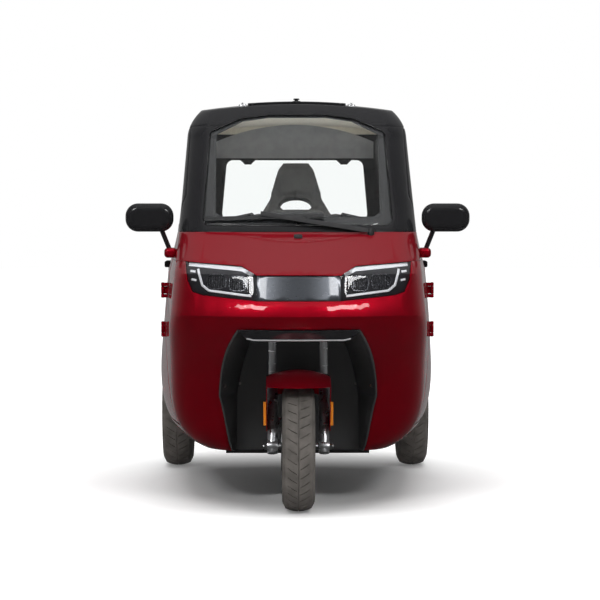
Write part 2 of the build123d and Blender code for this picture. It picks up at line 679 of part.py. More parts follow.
pad_face = RectangleRounded(2 * ROOF_PAD_HALF, ROOF_PAD_REAR_Y - ROOF_PAD_FRONT_Y, WINDOW_CORNER_R)
pad_middle = Pos(0, (ROOF_PAD_FRONT_Y + ROOF_PAD_REAR_Y) / 2, ROOF_TOP_Z)
roof_pad &= pad_middle * extrude(pad_face, ROOF_TOP_Z - DOOR_TOP_Z, both=True)

# Rear body
lid_outline = half_outline([(LID_HALF, LID_BOTTOM_Z), (LID_HALF, LID_TOP_Z)])
lamp_space = across(TAIL_LAMP, TAIL_LAMP_FRONT_Y, BIG)
rear_low = low_shell & rear_space
rear_shell = rear_low - across(lid_outline, REAR_AXLE_Y, BIG, LID_CORNER_R, MOVING_GAP)
rear_shell -= lamp_space + mirror(lamp_space, Plane.YZ)
arch_space = Pos(0, REAR_AXLE_Y, REAR_TYRE_R) * Rot(0, 90, 0) * Cylinder(REAR_TYRE_R + ARCH_GAP, BIG)
rear_shell -= arch_space
tail_lamp_y = TAIL_LAMP_FRONT_Y + PANEL_GAP
tail_lamps = both(rear_low & across(TAIL_LAMP, tail_lamp_y, BIG, grow=-PANEL_GAP))
boot_lid = (outer_low - lower_hull(LID_WALL)) & across(lid_outline, REAR_AXLE_Y, BIG, LID_CORNER_R)
bumper_plan = make_face([
    ThreePointArc((-BUMPER_HALF, HALF_LENGTH - 130), (0, HALF_LENGTH), (BUMPER_HALF, HALF_LENGTH - 130)),
    Polyline((BUMPER_HALF, HALF_LENGTH - 130), (BUMPER_HALF, REAR_AXLE_Y), (-BUMPER_HALF, REAR_AXLE_Y),
             (-BUMPER_HALF, HALF_LENGTH - 130)),
])
rear_bumper = extrude(Pos(0, 0, BUMPER_LOW_Z) * bumper_plan, BUMPER_HIGH_Z - BUMPER_LOW_Z) - low_cover

# Doors
window_outline = [
    (DOOR_FRONT_Y + WINDOW_BORDER, WINDOW_BOTTOM_Z), (DOOR_REAR_Y - WINDOW_BORDER, WINDOW_BOTTOM_Z),
    (DOOR_REAR_Y - WINDOW_BORDER, DOOR_TOP_Z - WINDOW_BORDER),
    (pillar_y(DOOR_TOP_Z) + 1.4 * WINDOW_BORDER - 10, DOOR_TOP_Z - WINDOW_BORDER),
    (DOOR_FRONT_Y + WINDOW_BORDER, DOOR_KNEE_Z - 10),
]
door_space = sideways(DOOR_OUTLINE, 0, BIG)
door_skin = outer_low - lower_hull(DOOR_WALL)
door_panel = door_skin & door_space
door_frame = (cabin_wall & door_space) - sideways(window_outline, 0, BIG, WINDOW_CORNER_R)
door_glass = glass_shell & sideways(window_outline, 0, BIG, WINDOW_CORNER_R, -SEAT_GAP)
handle_x = skin(outer_low, (0, HANDLE_Y, HANDLE_Z), X_AXIS).X
handle_bar = fillet(Box(HANDLE_H, HANDLE_L, HANDLE_W).edges().filter_by(Axis.Y), HANDLE_W / 4)
door_handle = Pos(handle_x + HANDLE_H / 5, HANDLE_Y, HANDLE_Z) * handle_bar - low_cover

# Hinges of the doors and the boot lid
leaf_skin = lower_hull(-HINGE_LEAF_T) - low_cover


def hinge(plane):
    """Fixed and moving half of a hinge about the plane's Z axis. The plane's -X points into the body, and the
    fixed half, which holds the pin, is on its -Y side."""
    ear_z, half_gap = 1.5 * HINGE_HALF + HINGE_PLAY, MOVING_GAP / 2
    fixed = Cylinder(HINGE_PIN_R, 4 * HINGE_HALF + 4 * HINGE_PLAY)
    for middle in (-ear_z, ear_z):
        fixed += Pos(0, 0, middle) * Cylinder(HINGE_R, HINGE_HALF)
        fixed += block((-HINGE_REACH, 0), (-HINGE_LUG, 0), (middle - HINGE_HALF / 2, middle + HINGE_HALF / 2))
    moving = Cylinder(HINGE_R, 2 * HINGE_HALF)
    moving += block((-HINGE_REACH, 0), (0, HINGE_LUG), (-HINGE_HALF, HINGE_HALF))
    moving -= Cylinder(HINGE_PIN_R + BEARING_CLEARANCE, 4 * HINGE_HALF)
    leaf_x = (-HINGE_REACH, HINGE_REACH)
    fixed_leaf = block(leaf_x, (-HINGE_LEAF_L, -half_gap), (-2 * HINGE_HALF, 2 * HINGE_HALF))
    moving_leaf = block(leaf_x, (half_gap, HINGE_LEAF_L), (-HINGE_HALF, HINGE_HALF))
    fixed = (plane * fixed - low_cover) + (plane * fixed_leaf & leaf_skin)
    moving = (plane * moving - low_cover) + (plane * moving_leaf & leaf_skin)
    return fixed.solid(), moving.solid()


hinge_y = DOOR_FRONT_Y - MOVING_GAP / 2
door_halves = [hinge(Plane((HINGE_X, hinge_y, z))) for z in HINGE_ZS]
lid_hinge_z = LID_TOP_Z + MOVING_GAP / 2
lid_hinge_y = skin(outer_low, (LID_HINGE_X, REAR_AXLE_Y, lid_hinge_z), Y_AXIS).Y + LID_HINGE_PROUD
lid_halves = [
    hinge(Plane((x, lid_hinge_y, lid_hinge_z), x_dir=Y_AXIS, z_dir=(-1, 0, 0)))
    for x in (-LID_HINGE_X, LID_HINGE_X)
]
fixed_hinges = [fixed for fixed, moving in door_halves]
door_hinges = [moving for fixed, moving in door_halves]
lid_fixed = [fixed for fixed, moving in lid_halves]
lid_moving = [moving for fixed, moving in lid_halves]

# Inside
bulkhead_y = (BULKHEAD_Y, BULKHEAD_Y + BULKHEAD_T)
leg_shield = low_lining & block((-BIG, BIG), bulkhead_y, (FLOOR_SLAB_Z + FLOOR_SLAB_T, DASH_LOW_Z))
floor_z = (FLOOR_SLAB_Z, FLOOR_SLAB_Z + FLOOR_SLAB_T)
floor_pan = low_lining & block((-BIG, BIG), (BULKHEAD_Y, TUB_FRONT_Y), floor_z)
dash_space = lower_hull(DOOR_WALL + MOVING_GAP)
dashboard = dash_space & block((-BIG, BIG), (DASH_FRONT_Y, DASH_REAR_Y), (DASH_LOW_Z, DASH_TOP_Z))
dash_hollow = (DASH_LOW_Z + DASH_WALL, DASH_TOP_Z - DASH_WALL)
dashboard -= block((-BIG, BIG), (DASH_FRONT_Y - 1, DASH_REAR_Y - DASH_WALL), dash_hollow)
dashboard -= block((-BIG, BIG), (DASH_FRONT_Y - 1, BULKHEAD_Y), (DASH_LOW_Z - 1, dash_hollow[1]))
dashboard -= rod(on_fork(0, 0, UPPER_CLAMP_UP), on_fork(0, 0, BAR_UP + 100), COLUMN_HOLE_R)
tub_profile = half_outline([
    (TUB_HALF, TUB_FLOOR_Z), (TUB_HALF, TUB_TOP_Z - TUB_WALL), (BIG / 4, TUB_TOP_Z - TUB_WALL),
    (BIG / 4, TUB_TOP_Z), (TUB_HALF - TUB_WALL, TUB_TOP_Z), (TUB_HALF - TUB_WALL, TUB_FLOOR_Z + TUB_WALL),
])
rear_tub = low_lining & across(tub_profile, TUB_FRONT_Y, TUB_REAR_Y)
riser_z = (FLOOR_SLAB_Z + FLOOR_SLAB_T, TUB_FLOOR_Z + TUB_WALL)
riser = block((-TUB_HALF, TUB_HALF), (TUB_FRONT_Y - TUB_WALL, TUB_FRONT_Y), riser_z)
rear_tub += low_lining & riser
battery_y = (BATTERY_FRONT_Y, BATTERY_REAR_Y)
battery_box = block((-BATTERY_HALF, BATTERY_HALF), battery_y, (riser_z[0], BATTERY_TOP_Z))
battery_box = fillet(battery_box.edges().filter_by(Axis.Z), BATTERY_CORNER_R)
driver_z = (BATTERY_TOP_Z, BATTERY_TOP_Z + CUSHION_T)
driver_cushion = block((-DRIVER_HALF, DRIVER_HALF), (DRIVER_FRONT_Y, DRIVER_REAR_Y), driver_z)
driver_cushion = fillet(driver_cushion.edges().filter_by(Axis.Z), CUSHION_CORNER_R)
back_face = prism_face(half_outline(BACK_OUTLINE)) - Pos(0, BACK_HOLE_UP) * Ellipse(BACK_HOLE_HALF, BACK_HOLE_H)
back_foot = Vector(0, DRIVER_REAR_Y - BACK_T, driver_z[1] + SEAT_GAP)
back_plane = Plane(back_foot, x_dir=X_AXIS, z_dir=(0, -cos(radians(RECLINE)), sin(radians(RECLINE))))
driver_back = extrude(back_plane * back_face, -BACK_T)
driver_back &= block((-BIG, BIG), (-BIG, BIG), (driver_z[1] + SEAT_GAP, BIG))
bench_z = (TUB_TOP_Z + SEAT_GAP, TUB_TOP_Z + SEAT_GAP + CUSHION_T)
bench_back_z = (bench_z[1] + SEAT_GAP, BENCH_BACK_TOP_Z)
bench_y = (BENCH_FRONT_Y, BENCH_REAR_Y)
bench_cushion = block((-BENCH_HALF, BENCH_HALF), bench_y, bench_z)
bench_cushion = fillet(bench_cushion.edges().filter_by(Axis.Z), CUSHION_CORNER_R)
bench_back_y = (BENCH_REAR_Y - BENCH_BACK_T, BENCH_REAR_Y)
bench_back = block((-BENCH_BACK_HALF, BENCH_BACK_HALF), bench_back_y, bench_back_z)
bench_back = fillet(bench_back.edges().filter_by(Axis.Y), CUSHION_CORNER_R)

# Fittings outside
arm_root = Vector(MIRROR_POD_X, MIRROR_Y, MIRROR_POD_Z)
arm_knee = Vector(MIRROR_HEAD_X - 0.22 * MIRROR_W, MIRROR_Y, MIRROR_HEAD_Z - 0.3 * MIRROR_H)
mirror_head = extrude(Plane.XZ * RectangleRounded(MIRROR_W, MIRROR_H, MIRROR_CORNER_R), MIRROR_D / 2, both=True)
mirror_rims = mirror_head.edges().group_by(Axis.Y)
mirror_head = fillet(mirror_rims[0] + mirror_rims[-1], MIRROR_EDGE_R)
mirror_left = Pos(MIRROR_HEAD_X, MIRROR_Y, MIRROR_HEAD_Z) * mirror_head + rod(arm_root, arm_knee, MIRROR_ARM_R)
pod_left = Pos(*arm_root) * fillet(Box(*MIRROR_POD_SIZE).edges(), MIRROR_POD_R) - low_cover
pod_left -= rod(arm_root, arm_knee, MIRROR_ARM_R + SEAT_GAP)
mirror_left -= low_cover


def wiper_strip(line, width, stand):
    """Bar that follows the windscreen along a line seen from the front, stand clear of the glass."""
    start, end = Vector(*line[0]), Vector(*line[1])
    side = (end - start).normalized().rotate(Axis.Z, 90) * (width / 2)
    corners = [(point.X, point.Y) for point in (start - side, end - side, end + side, start + side)]
    layer = cabin_hull(-stand - WIPER_T) - cabin_hull(-stand)
    return layer & across(corners, -BIG, 0)


wiper = wiper_strip(WIPER_BLADE, 12, WIPER_STAND) + wiper_strip(WIPER_ARM, 16, WIPER_STAND + WIPER_T - 1)
pivot_y = skin(outer_cabin, (WIPER_PIVOT_X, 0, WIPER_ARM[0][1]), (0, -1, 0)).Y - WIPER_STAND - WIPER_T
pivot_foot = (WIPER_PIVOT_X, pivot_y - WIPER_PIVOT_R, WIPER_PIVOT_Z - 2 * WIPER_PIVOT_R)
wiper_pivot = rod(pivot_foot, (WIPER_PIVOT_X, pivot_y, WIPER_ARM[0][1] + 6), WIPER_PIVOT_R)
wiper += wiper_pivot - low_cover - cabin_hull(-SEAT_GAP)

# Frame and running gear
rail = sideways(
    [
        (RAIL_FRONT_Y, RAIL_LOW_Z), (KICK_Y, RAIL_LOW_Z), (KICK_Y + KICK_RUN, RAIL_HIGH_Z),
        (RAIL_REAR_Y, RAIL_HIGH_Z), (RAIL_REAR_Y, RAIL_HIGH_Z + RAIL_H),
        (KICK_Y + KICK_RUN - RAIL_H / 2, RAIL_HIGH_Z + RAIL_H), (KICK_Y - RAIL_H / 2, RAIL_LOW_Z + RAIL_H),
        (RAIL_FRONT_Y, RAIL_LOW_Z + RAIL_H),
    ],
    RAIL_X - RAIL_W / 2, RAIL_X + RAIL_W / 2,
)
low_z, high_z = (RAIL_LOW_Z, RAIL_LOW_Z + RAIL_H), (RAIL_HIGH_Z, RAIL_HIGH_Z + RAIL_H)
across_x = (-RAIL_X, RAIL_X)
frame = rail + mirror(rail, Plane.YZ)
frame += block(across_x, (RAIL_FRONT_Y - RAIL_W, RAIL_FRONT_Y + 5), low_z)
frame += block((RAIL_X - RAIL_W / 2, RAIL_X + RAIL_W / 2), (RAIL_FRONT_Y - RAIL_W, RAIL_FRONT_Y), low_z)
frame += block((-RAIL_X - RAIL_W / 2, -RAIL_X + RAIL_W / 2), (RAIL_FRONT_Y - RAIL_W, RAIL_FRONT_Y), low_z)
frame += block(across_x, (KICK_Y - 90, KICK_Y - 90 + RAIL_W), low_z)
frame += block(across_x, (RAIL_REAR_Y - RAIL_W, RAIL_REAR_Y), high_z)
frame += rod((0, DOWN_TUBE_Y, RAIL_LOW_Z + RAIL_H / 2), (0, DOWN_TUBE_Y, DOWN_TUBE_TOP_Z), DOWN_TUBE_R)
frame += rod(on_fork(0, 0, LOWER_CLAMP_UP + CLAMP_T + 2), on_fork(0, 0, UPPER_CLAMP_UP - 2), HEAD_TUBE_R)
head_mid = on_fork(0, 0, (LOWER_CLAMP_UP + CLAMP_T + UPPER_CLAMP_UP) / 2)
frame += block((-12, 12), (head_mid.Y, DOWN_TUBE_Y), (head_mid.Z - 25, head_mid.Z + 15))
frame -= rod(on_fork(0, 0, LOWER_CLAMP_UP - 100), on_fork(0, 0, BAR_UP), STEM_R + BEARING_CLEARANCE)
tow_y = (RAIL_REAR_Y - RAIL_W, RAIL_REAR_Y + TOW_REACH + TOW_HALF)
tow_plate = block((-TOW_HALF, TOW_HALF), tow_y, (RAIL_HIGH_Z - TOW_PLATE_T, RAIL_HIGH_Z))
frame += tow_plate - Pos(0, RAIL_REAR_Y + TOW_REACH, RAIL_HIGH_Z) * Cylinder(TOW_HOLE_R, 4 * TOW_PLATE_T)

rear_place = Pos(0, REAR_AXLE_Y, REAR_TYRE_R)
stub_half = REAR_WHEEL_X + REAR_HUB_HALF + 12
axle = Cylinder(AXLE_TUBE_R, 2 * AXLE_TUBE_HALF) + Cylinder(REAR_STUB_R, 2 * stub_half)
axle += Cylinder(MOTOR_R, MOTOR_L)
for side in (-1, 1):
    axle += Pos(0, 0, side * (AXLE_TUBE_HALF + DRUM_W / 2 - 2)) * Cylinder(DRUM_R, DRUM_W)
    axle += Pos(0, 0, side * (stub_half - 5.5)) * extrude(RegularPolygon(22, 6), 5.5, both=True)
rear_axle = rear_place * Rot(0, 90, 0) * axle

leaf_low = REAR_TYRE_R + AXLE_TUBE_R + SEAT_GAP
eye_z = RAIL_HIGH_Z - LEAF_EYE_R - SEAT_GAP
leaf_ends = (REAR_AXLE_Y - LEAF_HALF, REAR_AXLE_Y + LEAF_HALF)
tip_z = (eye_z - LEAF_T / 2, eye_z + LEAF_T / 2)
leaf_face = make_face([
    ThreePointArc((leaf_ends[0], tip_z[0]), (REAR_AXLE_Y, leaf_low), (leaf_ends[1], tip_z[0])),
    Line((leaf_ends[1], tip_z[0]), (leaf_ends[1], tip_z[1])),
    ThreePointArc((leaf_ends[1], tip_z[1]), (REAR_AXLE_Y, leaf_low + LEAF_T), (leaf_ends[0], tip_z[1])),
    Line((leaf_ends[0], tip_z[1]), (leaf_ends[0], tip_z[0])),
])
leaf = extrude(Pos(RAIL_X, 0, 0) * (Plane.YZ * leaf_face), LEAF_W / 2, both=True)
for end_y in leaf_ends:
    leaf += Pos(RAIL_X, end_y, eye_z) * Rot(0, 90, 0) * Cylinder(LEAF_EYE_R, LEAF_W)

NODES = {
    "front_tyre": front_tyre,
    "front_rim": front_rim,
    "front_disc": front_disc,
    "fork_upper": fork_upper,
    "fork_lowers": Compound(children=fork_lowers),
    "front_axle": front_axle,
    "front_fender": front_fender,
    "fender_reflectors": fender_reflectors,
    "brake_caliper": brake_caliper,
    "handlebar": handlebar,
    "wheel_well_liner": wheel_well_liner,
    "front_mask": front_mask,
    "hood": hood,
    "bumper_strip": bumper_strip,
    "grille_panel": grille_panel,
    "headlamp_lenses": headlamp_lenses,
    "headlamp_bodies": headlamp_bodies,
    "sills": sills,
    "windscreen_surround": windscreen_surround,
    "windscreen_glass": windscreen_glass,
    "roof_panel": roof_panel,
    "roof_pad": roof_pad,
    "headliner": headliner,
    "rear_header": rear_header,
    "rear_upper": rear_upper,
    "rear_glass": rear_glass,
    "rear_shell": rear_shell,
    "tail_lamps": tail_lamps,
    "rear_bumper": rear_bumper,
    "body_hinges": Compound(children=[*both(Compound(children=fixed_hinges)).solids(), *lid_fixed]),
    "leg_shield": leg_shield,
    "floor_pan": floor_pan,
    "dashboard": dashboard,
    "rear_tub": rear_tub,
    "battery_box": battery_box,
    "driver_cushion": driver_cushion,
    "driver_back": driver_back,
    "bench_cushion": bench_cushion,
    "bench_back": bench_back,
    "mirrors": both(mirror_left),
    "mirror_pods": both(pod_left),
    "wiper": wiper,
    "frame": frame,
    "rear_axle": rear_axle,
    "leaf_springs": both(leaf),
    "boot_lid": boot_lid,
    "boot_lid_hinges": Compound(children=lid_moving),
}
for name, place in REAR_PLACES.items():
    NODES[f"rear_tyre_{name}"] = place * rear_tyre
    NODES[f"rear_rim_{name}"] = place * rear_rim
DOOR_PIECES = {
    "panel": door_panel, "frame": door_frame, "glass": door_glass,
    "fittings": Compound(children=[*door_handle.solids(), *door_hinges]),
}
for name, piece in DOOR_PIECES.items():
    NODES[f"door_{name}_left"] = piece
    NODES[f"door_{name}_right"] = mirror(piece, Plane.YZ)

os.makedirs("parts", exist_ok=True)
for name, shape in NODES.items():
    export_step(shape, f"parts/{name}.step")
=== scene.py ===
"""Looks of the enclosed three-wheel cabin scooter on its CAD frame: finishes, lamps, tread, seats and trim.

Metres, +Z up, the front faces -Y. Sizes are written in the same frame as the CAD solids."""

import json
import math

import bmesh
import bpy
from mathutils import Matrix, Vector
from mathutils.bvhtree import BVHTree


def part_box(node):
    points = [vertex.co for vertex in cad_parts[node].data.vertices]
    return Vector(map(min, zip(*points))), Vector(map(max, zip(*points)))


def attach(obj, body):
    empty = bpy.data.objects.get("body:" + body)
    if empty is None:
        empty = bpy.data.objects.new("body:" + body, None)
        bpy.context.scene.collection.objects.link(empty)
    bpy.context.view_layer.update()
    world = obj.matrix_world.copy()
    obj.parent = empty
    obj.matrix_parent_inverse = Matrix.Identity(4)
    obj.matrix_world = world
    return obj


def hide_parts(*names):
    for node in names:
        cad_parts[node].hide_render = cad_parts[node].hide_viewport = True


# Camera and image
IMAGE_PX = 600
FOCAL_PX = 2346
SENSOR_MM = 36
CAMERA_AT = (-0.080, -9.520, 1.150)
CAMERA_PITCH_DEG = -2.404
CAMERA_YAW_DEG = -0.569
CAMERA_REACH = 200

# Edges of the CAD panels, and where the door fittings change from red hinge to black handle
EDGE_ANGLE_DEG = 32
EDGE_WIDTH = 0.0016
CLEAR_EDGE_WIDTH = 0.0004
EDGE_SEGMENTS = 2
WELD_GAP = 0.00001
FITTINGS_SPLIT_Y = -0.3

# Part of a texture's values over which a colour or roughness runs from low to high
TEXTURE_SPAN = (0.3, 0.7)

# Slots of the finishes that aren't named as one, and nodes whose finish isn't their slot's
FINISH_OF_NODE = {
    "door_fittings_left": "door_fittings",
    "door_fittings_right": "door_fittings",
    "body_hinges": "body_red",
    # The wheel-well liner takes a lighter copy of the black plastic; its extra lightness is painted sheen
    "wheel_well_liner": "liner_black_painted_sheen",
}

# Rays that find a face: axis, sense and where on the axis they start
FROM_FRONT = (1, 1, -2.0)
FROM_BEHIND = (1, -1, 2.0)
FROM_ABOVE = (2, -1, 2.0)
FROM_CABIN_TO_FRONT = (1, -1, 0.0)
FROM_CABIN_TO_BACK = (1, 1, 0.4)
FROM_DRIVER_TO_MIRROR = (1, -1, 0.2)
DOOR_RAYS_X = 0.25
FACE_TRIES = 10
FACE_STEP = 0.01

# Mouldings: (across, up) in shares of a ribbon's width and height, and (scale, up) of a plate's
RIBBON_SECTION = [(-0.5, -0.1), (-0.46, 0.7), (-0.3, 1.0), (0.3, 1.0), (0.46, 0.7), (0.5, -0.1)]
RIBBON_STEP = 0.006
PLATE_SECTION = [(1.0, -0.1), (1.0, 0.65), (0.94, 1.0), (0.55, 1.08)]
BOX_POWER = 4.0
BOX_POINTS = 40
SMOOTH_DEG = 35

# Tyre: its wall as (share of the half width, share of the way from mid height up or down)
TYRE_BODIES = {
    "front_tyre": "front_wheel",
    "rear_tyre_left": "rear_wheel_left",
    "rear_tyre_right": "rear_wheel_right",
}
TYRE_WALL = [(0.87, 0.72), (0.94, 0.46), (0.985, 0.22), (1.0, 0.0), (0.975, -0.3), (0.9, -0.58), (0.78, -0.8)]
TYRE_SMOOTH_DEG = 30
SHOULDER_UP = 0.86
TREAD_HALF = 0.8
BEAD_HALF = 0.62
BEAD_R = 0.1553
RIM_LIP = 0.0083

# Tread: grooves cross the round tread in a V from each shoulder, one side half a pitch behind the other
TREAD_PITCHES = 40
TREAD_GROOVE = 0.0032
TREAD_WALL = 0.0007
TREAD_DEPTH = 0.004
BLOCK_MIDDLE = 0.6
TREAD_SKEW = 0.030
SKEW_REACH = 0.8
SKEW_POWER = 0.8
TREAD_ROWS = (0, 0.022, 0.04, 0.12, 0.19, 0.24, 0.32, 0.4, 0.48, 0.56, 0.64, 0.7, 0.76, 0.84, 0.92, 1)
CENTRE_GROOVE = 0.03
CENTRE_DEPTH = 0.003
GROOVE_SPAN = (0.15, 0.78)

# Headlamp, seen from the front on the left half: (x, z) lines with their width, cups as middle and half sizes
LAMP_STRIPS = [
    ([(0.166, 0.884), (0.207, 0.903), (0.404, 0.919)], 0.014),
    ([(0.369, 0.903), (0.352, 0.845), (0.328, 0.826), (0.172, 0.808)], 0.009),
    ([(0.378, 0.893), (0.398, 0.895)], 0.008),
    ([(0.374, 0.862), (0.392, 0.865)], 0.008),
]
LAMP_CUPS = [(0.299, 0.859, 0.034, 0.025), (0.222, 0.853, 0.030, 0.026)]
LAMP_RISE = 0.004
CUP_RIM_WIDTH = 0.005
RIBS_EACH_SIDE = 3
RIB_PITCH = 0.25
RIB_WIDTH = 0.0045
RIB_RISE = 0.0024
RIB_REACH = 0.8
END_RIB_REACH = 0.6

# Tail lamp, seen from behind on the left half
TAIL_STRIPS = [
    [(0.392, 0.672), (0.500, 0.688)],
    [(0.408, 0.800), (0.500, 0.810)],
    [(0.392, 0.672), (0.408, 0.800)],
]
TAIL_STRIP_WIDTH = 0.010
TAIL_STRIP_RISE = 0.003

# Printed border of the windscreen: corners of its outer and inner edge on the left half
FRIT_OUTER = [
    (0.0, 1.061), (0.345, 1.061), (0.3614, 1.0775), (0.3392, 1.4215),
    (0.2216, 1.4735), (0.1118, 1.4875), (0.0, 1.4875),
]
FRIT_INNER = [
    (0.0, 1.092), (0.290, 1.093), (0.312, 1.110), (0.3140, 1.4100),
    (0.2130, 1.4610), (0.1110, 1.4760), (0.0, 1.4760),
]
FRIT_RUN_STEPS = 14
FRIT_CROSS_STEPS = 4
FRIT_THICK = 0.0006

# Upholstery: node, drawn in by, most swelling, sewn lines as (axis across the line, place, depth)
SEATS = [
    ("driver_cushion", 0.008, 0.016, [
        (0, -0.105, 0.006), (0, 0.105, 0.006), (1, -0.06, 0.004), (1, 0.12, 0.004),
    ]),
    ("driver_back", 0.005, 0.009, [(0, -0.105, 0.005), (0, 0.105, 0.005)]),
    ("bench_cushion", 0.008, 0.018, [(0, -0.15, 0.006), (0, 0.15, 0.006), (1, 0.6, 0.004)]),
    ("bench_back", 0.008, 0.016, [(0, -0.15, 0.006), (0, 0.15, 0.006)]),
]
SEAT_VOXEL = 0.008
SEAT_PRESSURE = 4
SEAT_FRAMES = 20
SEAM_HALF = 0.007
SEAM_FACING = 0.6

# Small fittings: turned profiles as (along, radius), spots and boxes in the coordinates of their face
BOLT = [
    (-0.002, 0.0085), (0.0015, 0.0085), (0.002, 0.0062), (0.0055, 0.0060), (0.0065, 0.0045), (0.0045, 0.0030),
]
BOLT_SPOTS = [(-0.096, 0.312), (0.096, 0.312)]
SCREW = [(-0.001, 0.0060), (0.0012, 0.0060), (0.0022, 0.0042), (0.0024, 0.0024), (0.0012, 0.0016)]
SCREW_SPOTS = [
    (-0.276, 0.457), (-0.222, 0.455), (0.276, 0.457), (0.222, 0.455), (-0.032, 0.632), (0.032, 0.632),
]
TURNED_SIDES = 16
STRIP_EDGE = [(-0.190, 0.6515), (-0.165, 0.6455), (0.165, 0.6455), (0.190, 0.6515)]
STRIP_EDGE_WIDTH = 0.006
STRIP_EDGE_RISE = 0.0025
NOZZLE_BOX = (0.0, -0.745, 0.016, 0.010)
NOZZLE_RISE = 0.008
CLIP_X = 0.215
CLIP_Z = 1.524
CLIP_LENGTH = 0.040
CLIP_WIDTH = 0.009
CLIP_RISE = 0.014
CLIP_BASE_HALF = (0.015, 0.022)
CLIP_BASE_RISE = 0.008
KNOB = [
    (-0.002, 0.016), (0.002, 0.016), (0.003, 0.008), (0.006, 0.007),
    (0.007, 0.012), (0.010, 0.013), (0.012, 0.010),
]
KNOB_SPOT = (0.0, 0.02)
KNOB_SIDES = 24
CATCH_OUTLINE = [
    (-0.036, 1.340), (0.036, 1.340), (0.034, 1.332), (0.022, 1.322), (0.014, 1.313),
    (-0.014, 1.313), (-0.022, 1.322), (-0.034, 1.332),
]
CATCH_X = (-0.207, 0.217)
CATCH_RISE = 0.014
MIRROR_BOX = (0.565, 1.089, 0.070, 0.036)
MIRROR_RISE = 0.0015

# Instrument pod over the handlebar clamp, and its screen: (y, half width, half height) of each ring
POD_Z = 1.094
POD_RINGS = [
    (-0.546, 0.050, 0.008), (-0.538, 0.084, 0.016), (-0.520, 0.100, 0.021), (-0.488, 0.104, 0.024),
    (-0.470, 0.102, 0.025), (-0.465, 0.096, 0.021), (-0.469, 0.091, 0.017),
]
SCREEN_RINGS = [(-0.4702, 0.088, 0.0145), (-0.4680, 0.088, 0.0145), (-0.4674, 0.080, 0.0105)]

# Door card; its armrest and pocket as (low, high, ease) along y and z
CARD_Y = (-0.44, 0.29)
CARD_Z = (0.345, 0.985)
CARD_COLUMNS = 44
CARD_ROWS = 34
CARD_RISE = 0.003
CARD_THICK = 0.002
ARMREST_Y = (-0.24, 0.16, 0.05)
ARMREST_Z = (0.70, 0.775, 0.02)
ARMREST_RISE = 0.030
POCKET_Y = (-0.34, 0.20, 0.03)
POCKET_Z = (0.40, 0.56, 0.02)
POCKET_RISE = 0.014

# Floor with its run-out to white, and the world's glow on the object from the front to the back
FLOOR_HALF = 30
FLOOR_FADE = (0.6, 2.4)
WORLD_TURN = (-0.6, 0.3)
WORLD_GLOW = (0.14, 0.6)

# Flags, the sides of a long box around the object: their glow to the front and to the back
FLAG_SIDE_X = 3.6
FLAG_FRONT_Y = -10.4
FLAG_TURN_Y = (-0.4, 1.6)
FLAG_BACK_Y = 60.0
FLAG_LOW_Z = 0.004
FLAG_TOP_Z = 9.0
FLAG_GLOW = {
    "flag_floor": (0.02, 0.20),
    "flag_front": (0.02, 0.02),
    "flag_back": (0.25, 0.25),
    "flag_top": (0.28, 0.28),
    "flag_left": (0.03, 0.28),
    "flag_right": (0.03, 0.28),
}

# Lamps: name, place, aim, width, height, power in watts, whether reflections show it
LAMPS = [
    ("overhead", (0.0, -0.9, 4.6), (0.0, -0.2, 0.5), 4.0, 3.6, 240, False),
    ("front_left", (3.0, -6.3, 5.3), (0.0, -1.0, 0.8), 1.7, 1.6, 125, True),
    ("front_right", (-3.0, -6.3, 5.3), (0.0, -1.0, 0.8), 1.7, 1.6, 125, True),
    ("low_left", (3.0, -4.5, 4.05), (0.0, -1.0, 0.8), 1.0, 0.9, 30, True),
    ("low_right", (-3.0, -4.5, 4.05), (0.0, -1.0, 0.8), 1.0, 0.9, 30, True),
]

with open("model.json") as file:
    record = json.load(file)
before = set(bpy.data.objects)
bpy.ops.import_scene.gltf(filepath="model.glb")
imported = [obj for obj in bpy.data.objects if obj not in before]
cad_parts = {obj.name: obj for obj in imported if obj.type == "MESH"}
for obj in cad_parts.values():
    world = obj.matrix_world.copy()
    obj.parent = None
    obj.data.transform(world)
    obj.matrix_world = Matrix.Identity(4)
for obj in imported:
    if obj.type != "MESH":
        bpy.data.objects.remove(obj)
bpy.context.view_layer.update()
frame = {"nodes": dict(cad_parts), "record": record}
nodes = frame["nodes"]
slot_of = {row["node"]: row["material_slot"] for row in frame["record"]["subparts"]}


